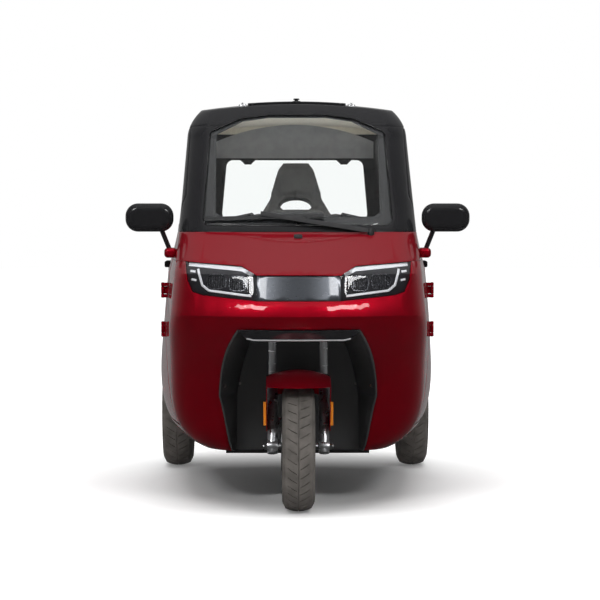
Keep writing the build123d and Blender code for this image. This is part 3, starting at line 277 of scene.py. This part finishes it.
# Materials
class Finish:
    """A Principled material with helpers for procedural detail in the object's own coordinates."""

    def __init__(self, name, color, roughness, metallic=0.0, **sockets):
        self.material = bpy.data.materials.new(name)
        self.material.use_nodes = True
        self.nodes = self.material.node_tree.nodes
        self.links = self.material.node_tree.links
        self.shader = self.nodes["Principled BSDF"]
        self.set("Base Color", (*color, 1.0))
        self.set("Roughness", roughness)
        self.set("Metallic", metallic)
        for socket, value in sockets.items():
            self.set(socket.replace("_", " "), value)
        self.place = self.nodes.new("ShaderNodeTexCoord").outputs["Object"]

    def set(self, socket, value):
        self.shader.inputs[socket].default_value = value

    def node(self, kind, **inputs):
        made = self.nodes.new(kind)
        for socket, value in inputs.items():
            made.inputs[socket.replace("_", " ")].default_value = value
        return made

    def noise(self, scale, detail=3.0, stretch=None):
        """Noise texture, its coordinates scaled per axis where stretch is given."""
        made = self.node("ShaderNodeTexNoise", Scale=scale, Detail=detail)
        source = self.place
        if stretch:
            mapping = self.node("ShaderNodeMapping", Scale=stretch)
            self.links.new(source, mapping.inputs["Vector"])
            source = mapping.outputs["Vector"]
        self.links.new(source, made.inputs["Vector"])
        return made.outputs["Fac"]

    def cells(self, scale):
        made = self.node("ShaderNodeTexVoronoi", Scale=scale)
        self.links.new(self.place, made.inputs["Vector"])
        return made.outputs["Distance"]

    def vary_color(self, height, low, high, span=TEXTURE_SPAN):
        """Base colour that runs from low to high over a span of a texture's values."""
        ramp = self.nodes.new("ShaderNodeValToRGB")
        for element, position, color in zip(ramp.color_ramp.elements, span, (low, high)):
            element.position = position
            element.color = (*color, 1.0)
        self.links.new(height, ramp.inputs["Fac"])
        self.links.new(ramp.outputs["Color"], self.shader.inputs["Base Color"])
        return self

    def vary_roughness(self, height, low, high):
        start, end = TEXTURE_SPAN
        ramp = self.node("ShaderNodeMapRange", From_Min=start, From_Max=end, To_Min=low, To_Max=high)
        self.links.new(height, ramp.inputs["Value"])
        self.links.new(ramp.outputs["Result"], self.shader.inputs["Roughness"])
        return self

    def bump(self, height, depth, strength):
        made = self.node("ShaderNodeBump", Strength=strength, Distance=depth)
        self.links.new(height, made.inputs["Height"])
        self.links.new(made.outputs["Normal"], self.shader.inputs["Normal"])
        return self

    def split_color(self, axis, edge, beyond):
        """Second colour, without the coat, where a coordinate lies beyond an edge."""
        split = self.nodes.new("ShaderNodeSeparateXYZ")
        side = self.nodes.new("ShaderNodeMath")
        side.operation = "LESS_THAN"
        side.inputs[1].default_value = edge
        color = self.nodes.new("ShaderNodeMix")
        color.data_type = "RGBA"
        color.inputs["A"].default_value = (*beyond, 1.0)
        self.links.new(self.place, split.inputs["Vector"])
        self.links.new(split.outputs[axis], side.inputs[0])
        self.links.new(side.outputs["Value"], color.inputs["Factor"])
        self.links.new(self.shader.inputs["Base Color"].links[0].from_socket, color.inputs["B"])
        self.links.new(color.outputs["Result"], self.shader.inputs["Base Color"])
        self.links.new(side.outputs["Value"], self.shader.inputs["Coat Weight"])
        return self

    def clear_to_shadows(self):
        """Lets lamp light pass straight through, so that what is behind glass is lit."""
        path = self.nodes.new("ShaderNodeLightPath")
        clear = self.nodes.new("ShaderNodeBsdfTransparent")
        mix = self.nodes.new("ShaderNodeMixShader")
        output = self.nodes["Material Output"]
        clear.inputs["Color"].default_value = self.shader.inputs["Base Color"].default_value
        self.links.new(path.outputs["Is Shadow Ray"], mix.inputs["Fac"])
        self.links.new(self.shader.outputs["BSDF"], mix.inputs[1])
        self.links.new(clear.outputs["BSDF"], mix.inputs[2])
        self.links.new(mix.outputs["Shader"], output.inputs["Surface"])
        return self

    def thin_clear(self, index):
        """Clear cover that light passes straight through, its outer face a weak mirror by its index."""
        mirror = self.node("ShaderNodeFresnel", IOR=index)
        face = self.nodes.new("ShaderNodeNewGeometry")
        share = self.node("ShaderNodeMix", B=0.0)
        self.links.new(face.outputs["Backfacing"], share.inputs["Factor"])
        self.links.new(mirror.outputs["Fac"], share.inputs["A"])
        self.links.new(share.outputs["Result"], self.shader.inputs["Alpha"])
        return self


def red_paint(name):
    red = Finish(
        name, (0.40, 0.003, 0.015), 0.45, 0.8, Specular_IOR_Level=0.0,
        Coat_Weight=1.0, Coat_Roughness=0.02, Coat_IOR=1.4,
    )
    red.vary_color(red.cells(900), (0.46, 0.004, 0.019), (0.32, 0.002, 0.011), (0.1, 0.7))
    return red.bump(red.cells(700), 0.00004, 0.5)


def make_finishes():
    made = {}
    made["body_red"] = red_paint("body_red")
    fittings = red_paint("door_fittings")
    made["door_fittings"] = fittings.split_color(1, FITTINGS_SPLIT_Y, (0.016, 0.016, 0.017))
    black = Finish("gloss_black", (0.012, 0.012, 0.013), 0.2, Specular_IOR_Level=0.35)
    made["gloss_black"] = black.vary_roughness(black.noise(9), 0.10, 0.20)
    plastic = Finish("black_plastic", (0.018, 0.018, 0.019), 0.5, Specular_IOR_Level=0.3)
    plastic.vary_color(plastic.noise(40), (0.014, 0.014, 0.015), (0.024, 0.024, 0.025))
    made["black_plastic"] = plastic.bump(plastic.cells(650), 0.00025, 0.6)
    # Wheel-well liner: black plastic with a lighter base, painted sheen for the front light it catches, and a
    # real higher specular
    liner = Finish("liner_black_painted_sheen", (0.040, 0.040, 0.041), 0.36, Specular_IOR_Level=0.5)
    made["liner_black_painted_sheen"] = liner.bump(liner.noise(300), 0.0003, 0.4)
    panel = Finish("dark_panel", (0.085, 0.092, 0.105), 0.30, 0.7, Coat_Weight=0.6, Coat_Roughness=0.05)
    made["dark_panel"] = panel.vary_roughness(panel.noise(60, stretch=(1, 1, 8)), 0.27, 0.33)
    glass = Finish(
        "glass", (0.98, 0.995, 0.99), 0.0,
        Transmission_Weight=1.0, IOR=1.01, Coat_Weight=1.0, Coat_IOR=1.25,
    )
    made["glass"] = glass.vary_roughness(glass.noise(4), 0.0, 0.02).clear_to_shadows()
    lens = Finish("lens", (0.97, 0.97, 0.98), 0.02, 1.0)
    made["lens"] = lens.vary_roughness(lens.noise(8), 0.01, 0.03).thin_clear(1.6)
    inner = Finish("lamp_inner", (0.012, 0.012, 0.015), 0.45, Specular_IOR_Level=0.25)
    made["lamp_inner"] = inner.bump(inner.noise(180, stretch=(1, 1, 0.1)), 0.0006, 0.4)
    tail = Finish("tail_red", (0.22, 0.002, 0.004), 0.12, Coat_Weight=0.8, Coat_Roughness=0.03)
    made["tail_red"] = tail.bump(tail.cells(160), 0.0006, 0.5)
    amber = Finish("amber", (0.85, 0.26, 0.015), 0.18, Coat_Weight=0.5)
    made["amber"] = amber.bump(amber.cells(260), 0.0006, 0.7)
    lining = Finish("headliner", (0.78, 0.72, 0.58), 0.9, Sheen_Weight=0.3)
    lining.vary_color(lining.noise(55), (0.73, 0.67, 0.54), (0.82, 0.76, 0.62))
    made["headliner"] = lining.bump(lining.noise(900), 0.0004, 0.6)
    trim = Finish("grey_trim", (0.33, 0.333, 0.342), 0.65)
    trim.vary_color(trim.noise(30), (0.30, 0.303, 0.312), (0.36, 0.362, 0.372))
    made["grey_trim"] = trim.bump(trim.cells(600), 0.00025, 0.6)
    seat = Finish("seat", (0.080, 0.080, 0.081), 0.48, Sheen_Weight=0.15)
    seat.vary_color(seat.noise(12), (0.068, 0.068, 0.069), (0.098, 0.098, 0.099))
    made["seat"] = seat.bump(seat.cells(420), 0.0004, 0.7)
    tyre = Finish("tyre", (0.085, 0.076, 0.069), 0.85)
    tyre.vary_color(tyre.noise(22, 5), (0.066, 0.059, 0.053), (0.122, 0.110, 0.099))
    made["tyre"] = tyre.bump(tyre.noise(500), 0.0004, 0.5)
    rim = Finish("rim", (0.025, 0.025, 0.027), 0.30, 0.4, Coat_Weight=0.5)
    made["rim"] = rim.vary_roughness(rim.noise(25), 0.22, 0.38)
    alloy = Finish("alloy", (0.62, 0.63, 0.65), 0.30, 0.9)
    alloy.vary_roughness(alloy.noise(60), 0.24, 0.40)
    made["alloy"] = alloy.bump(alloy.noise(700), 0.0002, 0.4)
    chrome = Finish("chrome", (0.80, 0.81, 0.83), 0.22, 0.7)
    made["chrome"] = chrome.vary_roughness(chrome.noise(15, stretch=(1, 1, 12)), 0.18, 0.28)
    mirror = Finish("mirror", (0.85, 0.87, 0.88), 0.02, 1.0)
    made["mirror"] = mirror.vary_roughness(mirror.noise(12), 0.01, 0.03)
    steel = Finish("steel", (0.45, 0.45, 0.46), 0.30, 1.0)
    made["steel"] = steel.vary_roughness(steel.noise(90, stretch=(1, 8, 8)), 0.24, 0.42)
    frame_black = Finish("frame_black", (0.014, 0.014, 0.015), 0.42)
    made["frame_black"] = frame_black.bump(frame_black.noise(350), 0.0003, 0.5)
    glow = Finish("lamp_white", (0.50, 0.51, 0.54), 0.35, Emission_Color=(1, 1, 1, 1), Emission_Strength=0.03)
    made["lamp_white"] = glow.bump(glow.noise(240), 0.0002, 0.3)
    bowl = Finish("lamp_bowl", (0.10, 0.103, 0.115), 0.25, 0.8)
    made["lamp_bowl"] = bowl.vary_roughness(bowl.noise(120), 0.18, 0.34)
    return {name: finish.material for name, finish in made.items()}


finishes = make_finishes()


def paint(obj, name):
    obj.data.materials.clear()
    obj.data.materials.append(finishes[name])
    return obj


for node_name, node in nodes.items():
    paint(node, FINISH_OF_NODE.get(node_name, slot_of[node_name]))
    weld = node.modifiers.new("weld", "WELD")
    weld.merge_threshold = WELD_GAP
    bevel = node.modifiers.new("edges", "BEVEL")
    bevel.width = CLEAR_EDGE_WIDTH if slot_of[node_name] in ("glass", "lens") else EDGE_WIDTH
    bevel.segments = EDGE_SEGMENTS
    bevel.limit_method = "ANGLE"
    bevel.angle_limit = math.radians(EDGE_ANGLE_DEG)
    bevel.harden_normals = True


# Mesh helpers: a geometry is a list of points and a list of faces
def add_object(name, data):
    made = bpy.data.objects.new(name, data)
    bpy.context.scene.collection.objects.link(made)
    return made


def piece(name, geometries, finish, body, smooth_deg=SMOOTH_DEG):
    """One object made of several geometries, riding on a body."""
    points, faces = [], []
    for more_points, more_faces in geometries:
        faces += [tuple(index + len(points) for index in face) for face in more_faces]
        points += [tuple(point) for point in more_points]
    mesh = bpy.data.meshes.new(name)
    mesh.from_pydata(points, [], faces)
    work = bmesh.new()
    work.from_mesh(mesh)
    bmesh.ops.recalc_face_normals(work, faces=work.faces)
    work.to_mesh(mesh)
    work.free()
    mesh.shade_smooth()
    mesh.set_sharp_from_angle(angle=math.radians(smooth_deg))
    made = paint(add_object(name, mesh), finish)
    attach(made, body)
    return made


def thicken(obj, thickness):
    """Gives a sheet its thickness, half to each side."""
    thick = obj.modifiers.new("thick", "SOLIDIFY")
    thick.thickness = thickness
    thick.offset = 0


def both_sides(geometries):
    """The geometries and their mirror images in the plane x = 0."""
    flip = [([(-x, y, z) for x, y, z in points], faces) for points, faces in geometries]
    return list(geometries) + flip


def skin_rings(rings, closed_path=False):
    """Joins closed rings of equal length into one strip, capped at its ends where the path is open."""
    count, faces = len(rings[0]), []
    for step in range(len(rings) - (0 if closed_path else 1)):
        here, there = step * count, (step + 1) % len(rings) * count
        for item in range(count):
            follow = (item + 1) % count
            faces.append((here + item, there + item, there + follow, here + follow))
    if not closed_path:
        faces += [tuple(range(count)), tuple(range(len(rings) * count - count, len(rings) * count))]
    return [point for ring in rings for point in ring], faces


def resample(path, closed=False):
    """Points along a path of straight runs, about a ribbon's step apart."""
    corners = [Vector(corner) for corner in path]
    runs = list(zip(corners, corners[1:] + corners[:1] if closed else corners[1:]))
    made = []
    for start, end in runs:
        count = max(1, round((end - start).length / RIBBON_STEP))
        made += [start.lerp(end, item / count) for item in range(count)]
    return made if closed else made + corners[-1:]


def resample_pair(first, second, count):
    """Both paths cut into the same number of steps on each run."""
    made = ([], [])
    for path, points in zip((first, second), made):
        corners = [Vector(corner) for corner in path]
        for start, end in zip(corners, corners[1:]):
            points += [start.lerp(end, item / count) for item in range(count)]
        points.append(corners[-1])
    return made


def rounded_box(x, z, half_x, half_z):
    """Superellipse outline around a middle."""
    made = []
    for item in range(BOX_POINTS):
        turn = 2 * math.pi * item / BOX_POINTS
        c, s = math.cos(turn), math.sin(turn)
        made.append((
            x + half_x * math.copysign(abs(c) ** (2 / BOX_POWER), c),
            z + half_z * math.copysign(abs(s) ** (2 / BOX_POWER), s),
        ))
    return made


def swell(value, low, high, ease):
    """1 between low and high, falling smoothly to 0 within ease outside them."""
    gap = max(low - value, value - high, 0.0) / ease
    return 0.0 if gap >= 1 else 0.5 + 0.5 * math.cos(math.pi * gap)


class Face:
    """Side of a CAD node that rays along one axis meet first, addressed by the other two coordinates."""

    def __init__(self, node_name, axis, sign, start):
        mesh = nodes[node_name].data
        self.tree = BVHTree.FromPolygons([v.co for v in mesh.vertices], [p.vertices for p in mesh.polygons])
        self.axis, self.start = axis, start
        self.ray = Vector((0, 0, 0))
        self.ray[axis] = sign
        low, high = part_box(node_name)
        self.middle = (Vector(low) + Vector(high)) / 2
        self.middle[axis] = start

    def at(self, spot, rise=0.0):
        """Point over a spot, lifted against the rays; off the edge it takes the depth further in."""
        point = Vector(spot)
        point = Vector((*point[:self.axis], self.start, *point[self.axis:]))
        for inwards in range(FACE_TRIES):
            hit = self.tree.ray_cast(point.lerp(self.middle, FACE_STEP * inwards), self.ray)[0]
            if hit:
                break
        else:
            hit = self.tree.find_nearest(point)[0]
        point[self.axis] = hit[self.axis]
        return point - self.ray * rise


def ribbon(face, path, width, height, closed=False):
    """Low moulding along a path on a face."""
    points = resample(path, closed)
    last, rings = len(points) - 1, []
    for item, point in enumerate(points):
        ahead = points[(item + 1) % len(points)] if closed or item < last else point
        behind = points[item - 1] if closed or item else point
        along = (ahead - behind).normalized()
        across = Vector((-along.y, along.x)) * width
        rings.append([face.at(point + across * side, height * rise) for side, rise in RIBBON_SECTION])
    return skin_rings(rings, closed)


def plate(face, outline, height):
    """Low crowned plate with an eased edge on a face."""
    corners = [Vector(corner) for corner in outline]
    middle = sum(corners, Vector((0, 0))) / len(corners)
    return skin_rings([
        [face.at(middle + (corner - middle) * scale, height * rise) for corner in corners]
        for scale, rise in PLATE_SECTION
    ])


def turned(place, direction, profile, sides=TURNED_SIDES):
    """Turned form of (along, radius) pairs on an axis from a place."""
    turn = Vector(direction).to_track_quat("Z", "Y").to_matrix()
    angles = [2 * math.pi * item / sides for item in range(sides)]
    return skin_rings([
        [Vector(place) + turn @ Vector((radius * math.cos(a), radius * math.sin(a), along)) for a in angles]
        for along, radius in profile
    ])


# Tyres
def tyre_rows(half, radius):
    """(x, radius, share of the tread's half width, None on the walls) of each row from bead to bead."""
    shoulder = SHOULDER_UP * radius + (1 - SHOULDER_UP) * BEAD_R
    edge = TREAD_HALF * half
    crown_r = (edge ** 2 + (radius - shoulder) ** 2) / (2 * (radius - shoulder))
    flank = 0.5 * (radius + BEAD_R)
    tread = []
    for v in sorted({-row for row in TREAD_ROWS} | set(TREAD_ROWS)):
        x = v * edge
        tread.append((x, radius - crown_r + math.sqrt(crown_r ** 2 - x ** 2), v))
    wall = []
    for across, up in TYRE_WALL:
        reach = shoulder - flank if up > 0 else flank - BEAD_R - RIM_LIP
        wall.append((half * across, flank + reach * up))
    wall += [(BEAD_HALF * half, BEAD_R + RIM_LIP), (BEAD_HALF * half, BEAD_R)]
    return [(-x, r, None) for x, r in reversed(wall)] + tread + [(x, r, None) for x, r in wall]


def tread_columns(radius):
    """(length around the tread, side the groove is on, whether it lies in the groove) of each column."""
    cell = math.pi * radius / TREAD_PITCHES
    groove_end = TREAD_GROOVE - TREAD_WALL
    columns = []
    for item in range(2 * TREAD_PITCHES):
        for offset in (0.0, TREAD_WALL, groove_end, TREAD_GROOVE, BLOCK_MIDDLE * cell):
            columns.append((item * cell + offset, item % 2, TREAD_WALL <= offset <= groove_end))
    return columns


def tread_cut(x, v, parity, in_groove):
    """Depth of the tread pattern at a point of the tread."""
    if abs(v) < CENTRE_GROOVE:
        return CENTRE_DEPTH
    grooved_side = (x > 0) == (parity == 0)
    if in_groove and grooved_side and GROOVE_SPAN[0] < abs(v) < GROOVE_SPAN[1]:
        return TREAD_DEPTH
    return 0.0


def make_tyre(node_name, body):
    low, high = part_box(node_name)
    middle = (Vector(low) + Vector(high)) / 2
    half, radius = (high[0] - low[0]) / 2, (high[2] - low[2]) / 2
    rows = tyre_rows(half, radius)
    rings = []
    for u, parity, in_groove in tread_columns(radius):
        ring = []
        for x, r, v in rows:
            slant = cut = 0.0
            if v is not None:
                slant = TREAD_SKEW * (SKEW_REACH - min(abs(v), SKEW_REACH)) ** SKEW_POWER
                cut = tread_cut(x, v, parity, in_groove)
            angle = (u + slant) / radius
            deep = r - cut
            ring.append((middle.x + x, middle.y - deep * math.sin(angle), middle.z + deep * math.cos(angle)))
        rings.append(ring)
    tread = skin_rings(rings, closed_path=True)
    made = piece(node_name + "_treaded", [tread], "tyre", body, TYRE_SMOOTH_DEG)
    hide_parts(node_name)


for tyre_node, tyre_body in TYRE_BODIES.items():
    make_tyre(tyre_node, tyre_body)

# Headlamps
lamp_face = Face("headlamp_bodies", *FROM_FRONT)
strips = [ribbon(lamp_face, line, width, LAMP_RISE) for line, width in LAMP_STRIPS]
piece("headlamp_light_guides", both_sides(strips), "lamp_white", "chassis")
cups, ribs = [], []
for x, z, half_x, half_z in LAMP_CUPS:
    cups.append(ribbon(lamp_face, rounded_box(x, z, half_x, half_z), CUP_RIM_WIDTH, LAMP_RISE, closed=True))
    for item in range(-RIBS_EACH_SIDE, RIBS_EACH_SIDE + 1):
        reach = half_z * (RIB_REACH if abs(item) < RIBS_EACH_SIDE else END_RIB_REACH)
        at = x + item * half_x * RIB_PITCH
        ribs.append(ribbon(lamp_face, [(at, z - reach), (at, z + reach)], RIB_WIDTH, RIB_RISE))
piece("headlamp_cup_rims", both_sides(cups), "lamp_bowl", "chassis")
piece("headlamp_reflectors", both_sides(ribs), "lamp_bowl", "chassis")


# Windscreen border
def make_frit():
    screen_face = Face("windscreen_glass", *FROM_CABIN_TO_FRONT)
    outer, inner = resample_pair(FRIT_OUTER, FRIT_INNER, FRIT_RUN_STEPS)
    shares = [step / FRIT_CROSS_STEPS for step in range(FRIT_CROSS_STEPS + 1)]
    points, faces = [], []
    for out_spot, in_spot in zip(outer, inner):
        points += [screen_face.at(out_spot.lerp(in_spot, share), FRIT_THICK) for share in shares]
    count = len(shares)
    for row in range(len(outer) - 1):
        for step in range(FRIT_CROSS_STEPS):
            a = row * count + step
            faces.append((a, a + count, a + count + 1, a + 1))
    made = piece("windscreen_border", both_sides([(points, faces)]), "gloss_black", "chassis")
    thicken(made, FRIT_THICK)


make_frit()


# Upholstery
def evaluated_mesh(obj):
    graph = bpy.context.evaluated_depsgraph_get()
    return bpy.data.meshes.new_from_object(obj.evaluated_get(graph))


def make_pad(node_name, drawn_in, most, seams):
    """Swells a slightly smaller copy of a seat solid outwards by pressure, then draws in its sewn lines."""
    pad = add_object(node_name + "_padded", nodes[node_name].data.copy())
    remesh = pad.modifiers.new("remesh", "REMESH")
    remesh.mode = "VOXEL"
    remesh.voxel_size = SEAT_VOXEL
    pad.data = evaluated_mesh(pad)
    pad.modifiers.clear()
    normals = [v.normal.copy() for v in pad.data.vertices]
    for vertex, normal in zip(pad.data.vertices, normals):
        vertex.co -= normal * drawn_in
    cloth = pad.modifiers.new("cloth", "CLOTH")
    cloth.settings.use_pressure = True
    cloth.settings.uniform_pressure_force = SEAT_PRESSURE
    cloth.settings.effector_weights.gravity = 0
    for frame_no in range(1, SEAT_FRAMES + 1):
        bpy.context.scene.frame_set(frame_no)
    swollen = evaluated_mesh(pad)
    pad.modifiers.clear()
    bpy.context.scene.frame_set(1)
    for vertex, normal, new in zip(pad.data.vertices, normals, swollen.vertices):
        vertex.co += normal * min(most, max(0.0, (new.co - vertex.co).dot(normal)))
    for axis, place, depth in seams:
        for vertex, normal in zip(pad.data.vertices, [v.normal.copy() for v in pad.data.vertices]):
            if abs(normal[axis]) < SEAM_FACING:
                vertex.co -= normal * depth * math.exp(-((vertex.co[axis] - place) / SEAM_HALF) ** 2)
    pad.data.shade_smooth()
    smooth = pad.modifiers.new("smooth", "SUBSURF")
    smooth.levels = smooth.render_levels = 1
    paint(pad, "seat")
    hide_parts(node_name)
    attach(pad, "chassis")


for seat in SEATS:
    make_pad(*seat)

# Small fittings
liner_face = Face("wheel_well_liner", *FROM_FRONT)
screws = [turned(liner_face.at(spot), (0, -1, 0), SCREW) for spot in SCREW_SPOTS]
piece("liner_screws", screws, "steel", "chassis")
leg_face = Face("fork_lowers", *FROM_FRONT)
bolts = [turned(leg_face.at(spot), (0, -1, 0), BOLT) for spot in BOLT_SPOTS]
piece("fork_pinch_bolts", bolts, "steel", "steering")

strip_face = Face("bumper_strip", *FROM_FRONT)
strip_edge = ribbon(strip_face, STRIP_EDGE, STRIP_EDGE_WIDTH, STRIP_EDGE_RISE)
piece("bumper_strip_edge", [strip_edge], "grey_trim", "chassis")

hood_face = Face("hood", *FROM_ABOVE)
nozzle = plate(hood_face, rounded_box(*NOZZLE_BOX), NOZZLE_RISE)
piece("washer_nozzle", [nozzle], "black_plastic", "chassis")

roof_front = Face("roof_panel", *FROM_FRONT)
roof_top = Face("roof_panel", *FROM_ABOVE)
clip_y = roof_front.at((CLIP_X, CLIP_Z)).y
clip_base = rounded_box(CLIP_X, clip_y + CLIP_LENGTH / 2, *CLIP_BASE_HALF)
clip_line = [(CLIP_X, clip_y), (CLIP_X, clip_y + CLIP_LENGTH)]
piece("roof_clips", both_sides([
    plate(roof_top, clip_base, CLIP_BASE_RISE),
    ribbon(roof_top, clip_line, CLIP_WIDTH, CLIP_RISE),
]), "chrome", "chassis")
pad_top = Face("roof_pad", *FROM_ABOVE)
knob = turned(pad_top.at(KNOB_SPOT), (0, 0, 1), KNOB, KNOB_SIDES)
piece("roof_knob", [knob], "black_plastic", "chassis")

rear_face = Face("rear_glass", *FROM_CABIN_TO_BACK)
catches = [plate(rear_face, [(x + across, z) for across, z in CATCH_OUTLINE], CATCH_RISE) for x in CATCH_X]
piece("rear_window_catches", catches, "black_plastic", "chassis")

mirror_face = Face("mirrors", *FROM_DRIVER_TO_MIRROR)
mirror_glass = plate(mirror_face, rounded_box(*MIRROR_BOX), MIRROR_RISE)
piece("mirror_glasses", both_sides([mirror_glass]), "mirror", "chassis")

tail_face = Face("tail_lamps", *FROM_BEHIND)
tail_strips = [ribbon(tail_face, line, TAIL_STRIP_WIDTH, TAIL_STRIP_RISE) for line in TAIL_STRIPS]
piece("tail_light_guides", both_sides(tail_strips), "amber", "chassis")


# Inside
def pod_skin(sizes):
    rings = []
    for y, half_x, half_z in sizes:
        rings.append([(x, y, z) for x, z in rounded_box(0.0, POD_Z, half_x, half_z)])
    return skin_rings(rings)


def make_door_card(side, body):
    """Trim on a door's inner face, with an armrest and a pocket pressed into one sheet."""
    outwards = 1 if side == "left" else -1
    face = Face("door_panel_" + side, 0, outwards, outwards * DOOR_RAYS_X)
    points, faces = [], []
    for column in range(CARD_COLUMNS + 1):
        y = CARD_Y[0] + (CARD_Y[1] - CARD_Y[0]) * column / CARD_COLUMNS
        for row in range(CARD_ROWS + 1):
            z = CARD_Z[0] + (CARD_Z[1] - CARD_Z[0]) * row / CARD_ROWS
            rest = swell(y, *ARMREST_Y) * swell(z, *ARMREST_Z)
            pocket = swell(y, *POCKET_Y) * swell(z, *POCKET_Z)
            points.append(face.at((y, z), CARD_RISE + ARMREST_RISE * rest + POCKET_RISE * pocket))
    count = CARD_ROWS + 1
    for column in range(CARD_COLUMNS):
        for row in range(CARD_ROWS):
            a = column * count + row
            faces.append((a, a + 1, a + count + 1, a + count))
    card = piece("door_card_" + side, [(points, faces)], "black_plastic", body)
    thicken(card, CARD_THICK)


piece("instrument_pod", [pod_skin(POD_RINGS)], "black_plastic", "steering")
piece("instrument_screen", [pod_skin(SCREEN_RINGS)], "gloss_black", "steering")
make_door_card("left", "door_left")
make_door_card("right", "door_right")


# Light and floor
def flat_mesh(name, corners):
    mesh = bpy.data.meshes.new(name)
    mesh.from_pydata(corners, [], [tuple(range(len(corners)))])
    return mesh


def background_rays(tree):
    """Factor that is 1 for rays from the camera, off metal and through glass."""
    path = tree.nodes.new("ShaderNodeLightPath")
    socket = path.outputs["Is Camera Ray"]
    for name in ("Is Glossy Ray", "Is Transmission Ray"):
        either = tree.nodes.new("ShaderNodeMath")
        either.operation = "MAXIMUM"
        tree.links.new(socket, either.inputs[0])
        tree.links.new(path.outputs[name], either.inputs[1])
        socket = either.outputs["Value"]
    return socket


def make_floor():
    """Pale floor that takes the shadow near the object and runs out to white around it."""
    half = FLOOR_HALF
    mesh = flat_mesh("floor", [(-half, -half, 0), (half, -half, 0), (half, half, 0), (-half, half, 0)])
    ground = Finish("floor", (0.84, 0.84, 0.84), 0.9, Emission_Color=(1, 1, 1, 1))
    ground.vary_color(ground.noise(0.8), (0.83, 0.83, 0.83), (0.85, 0.85, 0.85))
    reach = ground.nodes.new("ShaderNodeVectorMath")
    reach.operation = "LENGTH"
    fade = ground.node("ShaderNodeMapRange", From_Min=FLOOR_FADE[0], From_Max=FLOOR_FADE[1], To_Max=1.0)
    lift = ground.nodes.new("ShaderNodeMath")
    lift.operation = "MULTIPLY"
    ground.links.new(ground.place, reach.inputs[0])
    ground.links.new(reach.outputs["Value"], fade.inputs["Value"])
    ground.links.new(fade.outputs["Result"], lift.inputs[0])
    ground.links.new(background_rays(ground.material.node_tree), lift.inputs[1])
    ground.links.new(lift.outputs["Value"], ground.shader.inputs["Emission Strength"])
    mesh.materials.append(ground.material)
    add_object("floor", mesh)


def make_flag(name, corners):
    """Studio flag that only reflections meet, dark to the front, where the paint keeps its depth."""
    mesh = flat_mesh(name, corners)
    cloth = Finish(name, (0, 0, 0), 1.0, Emission_Color=(1, 1, 1, 1))
    split = cloth.nodes.new("ShaderNodeSeparateXYZ")
    (start, end), (front_glow, back_glow) = FLAG_TURN_Y, FLAG_GLOW[name]
    turn = cloth.node("ShaderNodeMapRange", From_Min=start, From_Max=end, To_Min=front_glow, To_Max=back_glow)
    cloth.links.new(cloth.place, split.inputs["Vector"])
    cloth.links.new(split.outputs["Y"], turn.inputs["Value"])
    cloth.links.new(turn.outputs["Result"], cloth.shader.inputs["Emission Strength"])
    mesh.materials.append(cloth.material)
    flag = add_object(name, mesh)
    flag.visible_camera = False
    flag.visible_diffuse = False
    flag.visible_transmission = False
    flag.visible_shadow = False


def make_flags():
    side, front, back, top = FLAG_SIDE_X, FLAG_FRONT_Y, FLAG_BACK_Y, FLAG_TOP_Z

    def level(z):
        return [(-side, front, z), (side, front, z), (side, back, z), (-side, back, z)]

    def across(y):
        return [(-side, y, 0), (side, y, 0), (side, y, top), (-side, y, top)]

    def along(x):
        return [(x, front, 0), (x, back, 0), (x, back, top), (x, front, top)]

    make_flag("flag_floor", level(FLAG_LOW_Z))
    make_flag("flag_front", across(front))
    make_flag("flag_back", across(back))
    make_flag("flag_top", level(top))
    make_flag("flag_left", along(side))
    make_flag("flag_right", along(-side))


def make_world():
    """White behind the object, and for its own light dim on the camera's side and brighter behind."""
    world = bpy.data.worlds.new("studio")
    world.use_nodes = True
    tree = world.node_tree
    background = tree.nodes["Background"]
    background.inputs["Color"].default_value = (1, 1, 1, 1)
    place = tree.nodes.new("ShaderNodeTexCoord")
    split = tree.nodes.new("ShaderNodeSeparateXYZ")
    facing = tree.nodes.new("ShaderNodeMapRange")
    for socket, value in zip(("From Min", "From Max", "To Min", "To Max"), WORLD_TURN + WORLD_GLOW):
        facing.inputs[socket].default_value = value
    strength = tree.nodes.new("ShaderNodeMix")
    strength.inputs["B"].default_value = 1.0
    tree.links.new(place.outputs["Generated"], split.inputs["Vector"])
    tree.links.new(split.outputs["Y"], facing.inputs["Value"])
    tree.links.new(facing.outputs["Result"], strength.inputs["A"])
    tree.links.new(background_rays(tree), strength.inputs["Factor"])
    tree.links.new(strength.outputs["Result"], background.inputs["Strength"])
    bpy.context.scene.world = world


make_floor()
make_world()
make_flags()

for name, place, aim, width, height, power, reflected in LAMPS:
    lamp = bpy.data.lights.new(name, "AREA")
    lamp.shape = "RECTANGLE"
    lamp.size, lamp.size_y = width, height
    lamp.energy = power
    lamp_object = add_object(name, lamp)
    lamp_object.visible_glossy = lamp_object.visible_transmission = reflected
    lamp_object.location = place
    lamp_object.rotation_euler = (Vector(aim) - Vector(place)).to_track_quat("-Z", "Y").to_euler()

camera_data = bpy.data.cameras.new("camera")
camera_data.sensor_width = SENSOR_MM
camera_data.lens = FOCAL_PX * SENSOR_MM / IMAGE_PX
camera_data.clip_end = CAMERA_REACH
camera = add_object("camera", camera_data)
camera.location = CAMERA_AT
camera.rotation_euler = (math.radians(90 + CAMERA_PITCH_DEG), 0, math.radians(CAMERA_YAW_DEG))
bpy.context.scene.camera = camera
bpy.context.scene.view_settings.view_transform = "Standard"
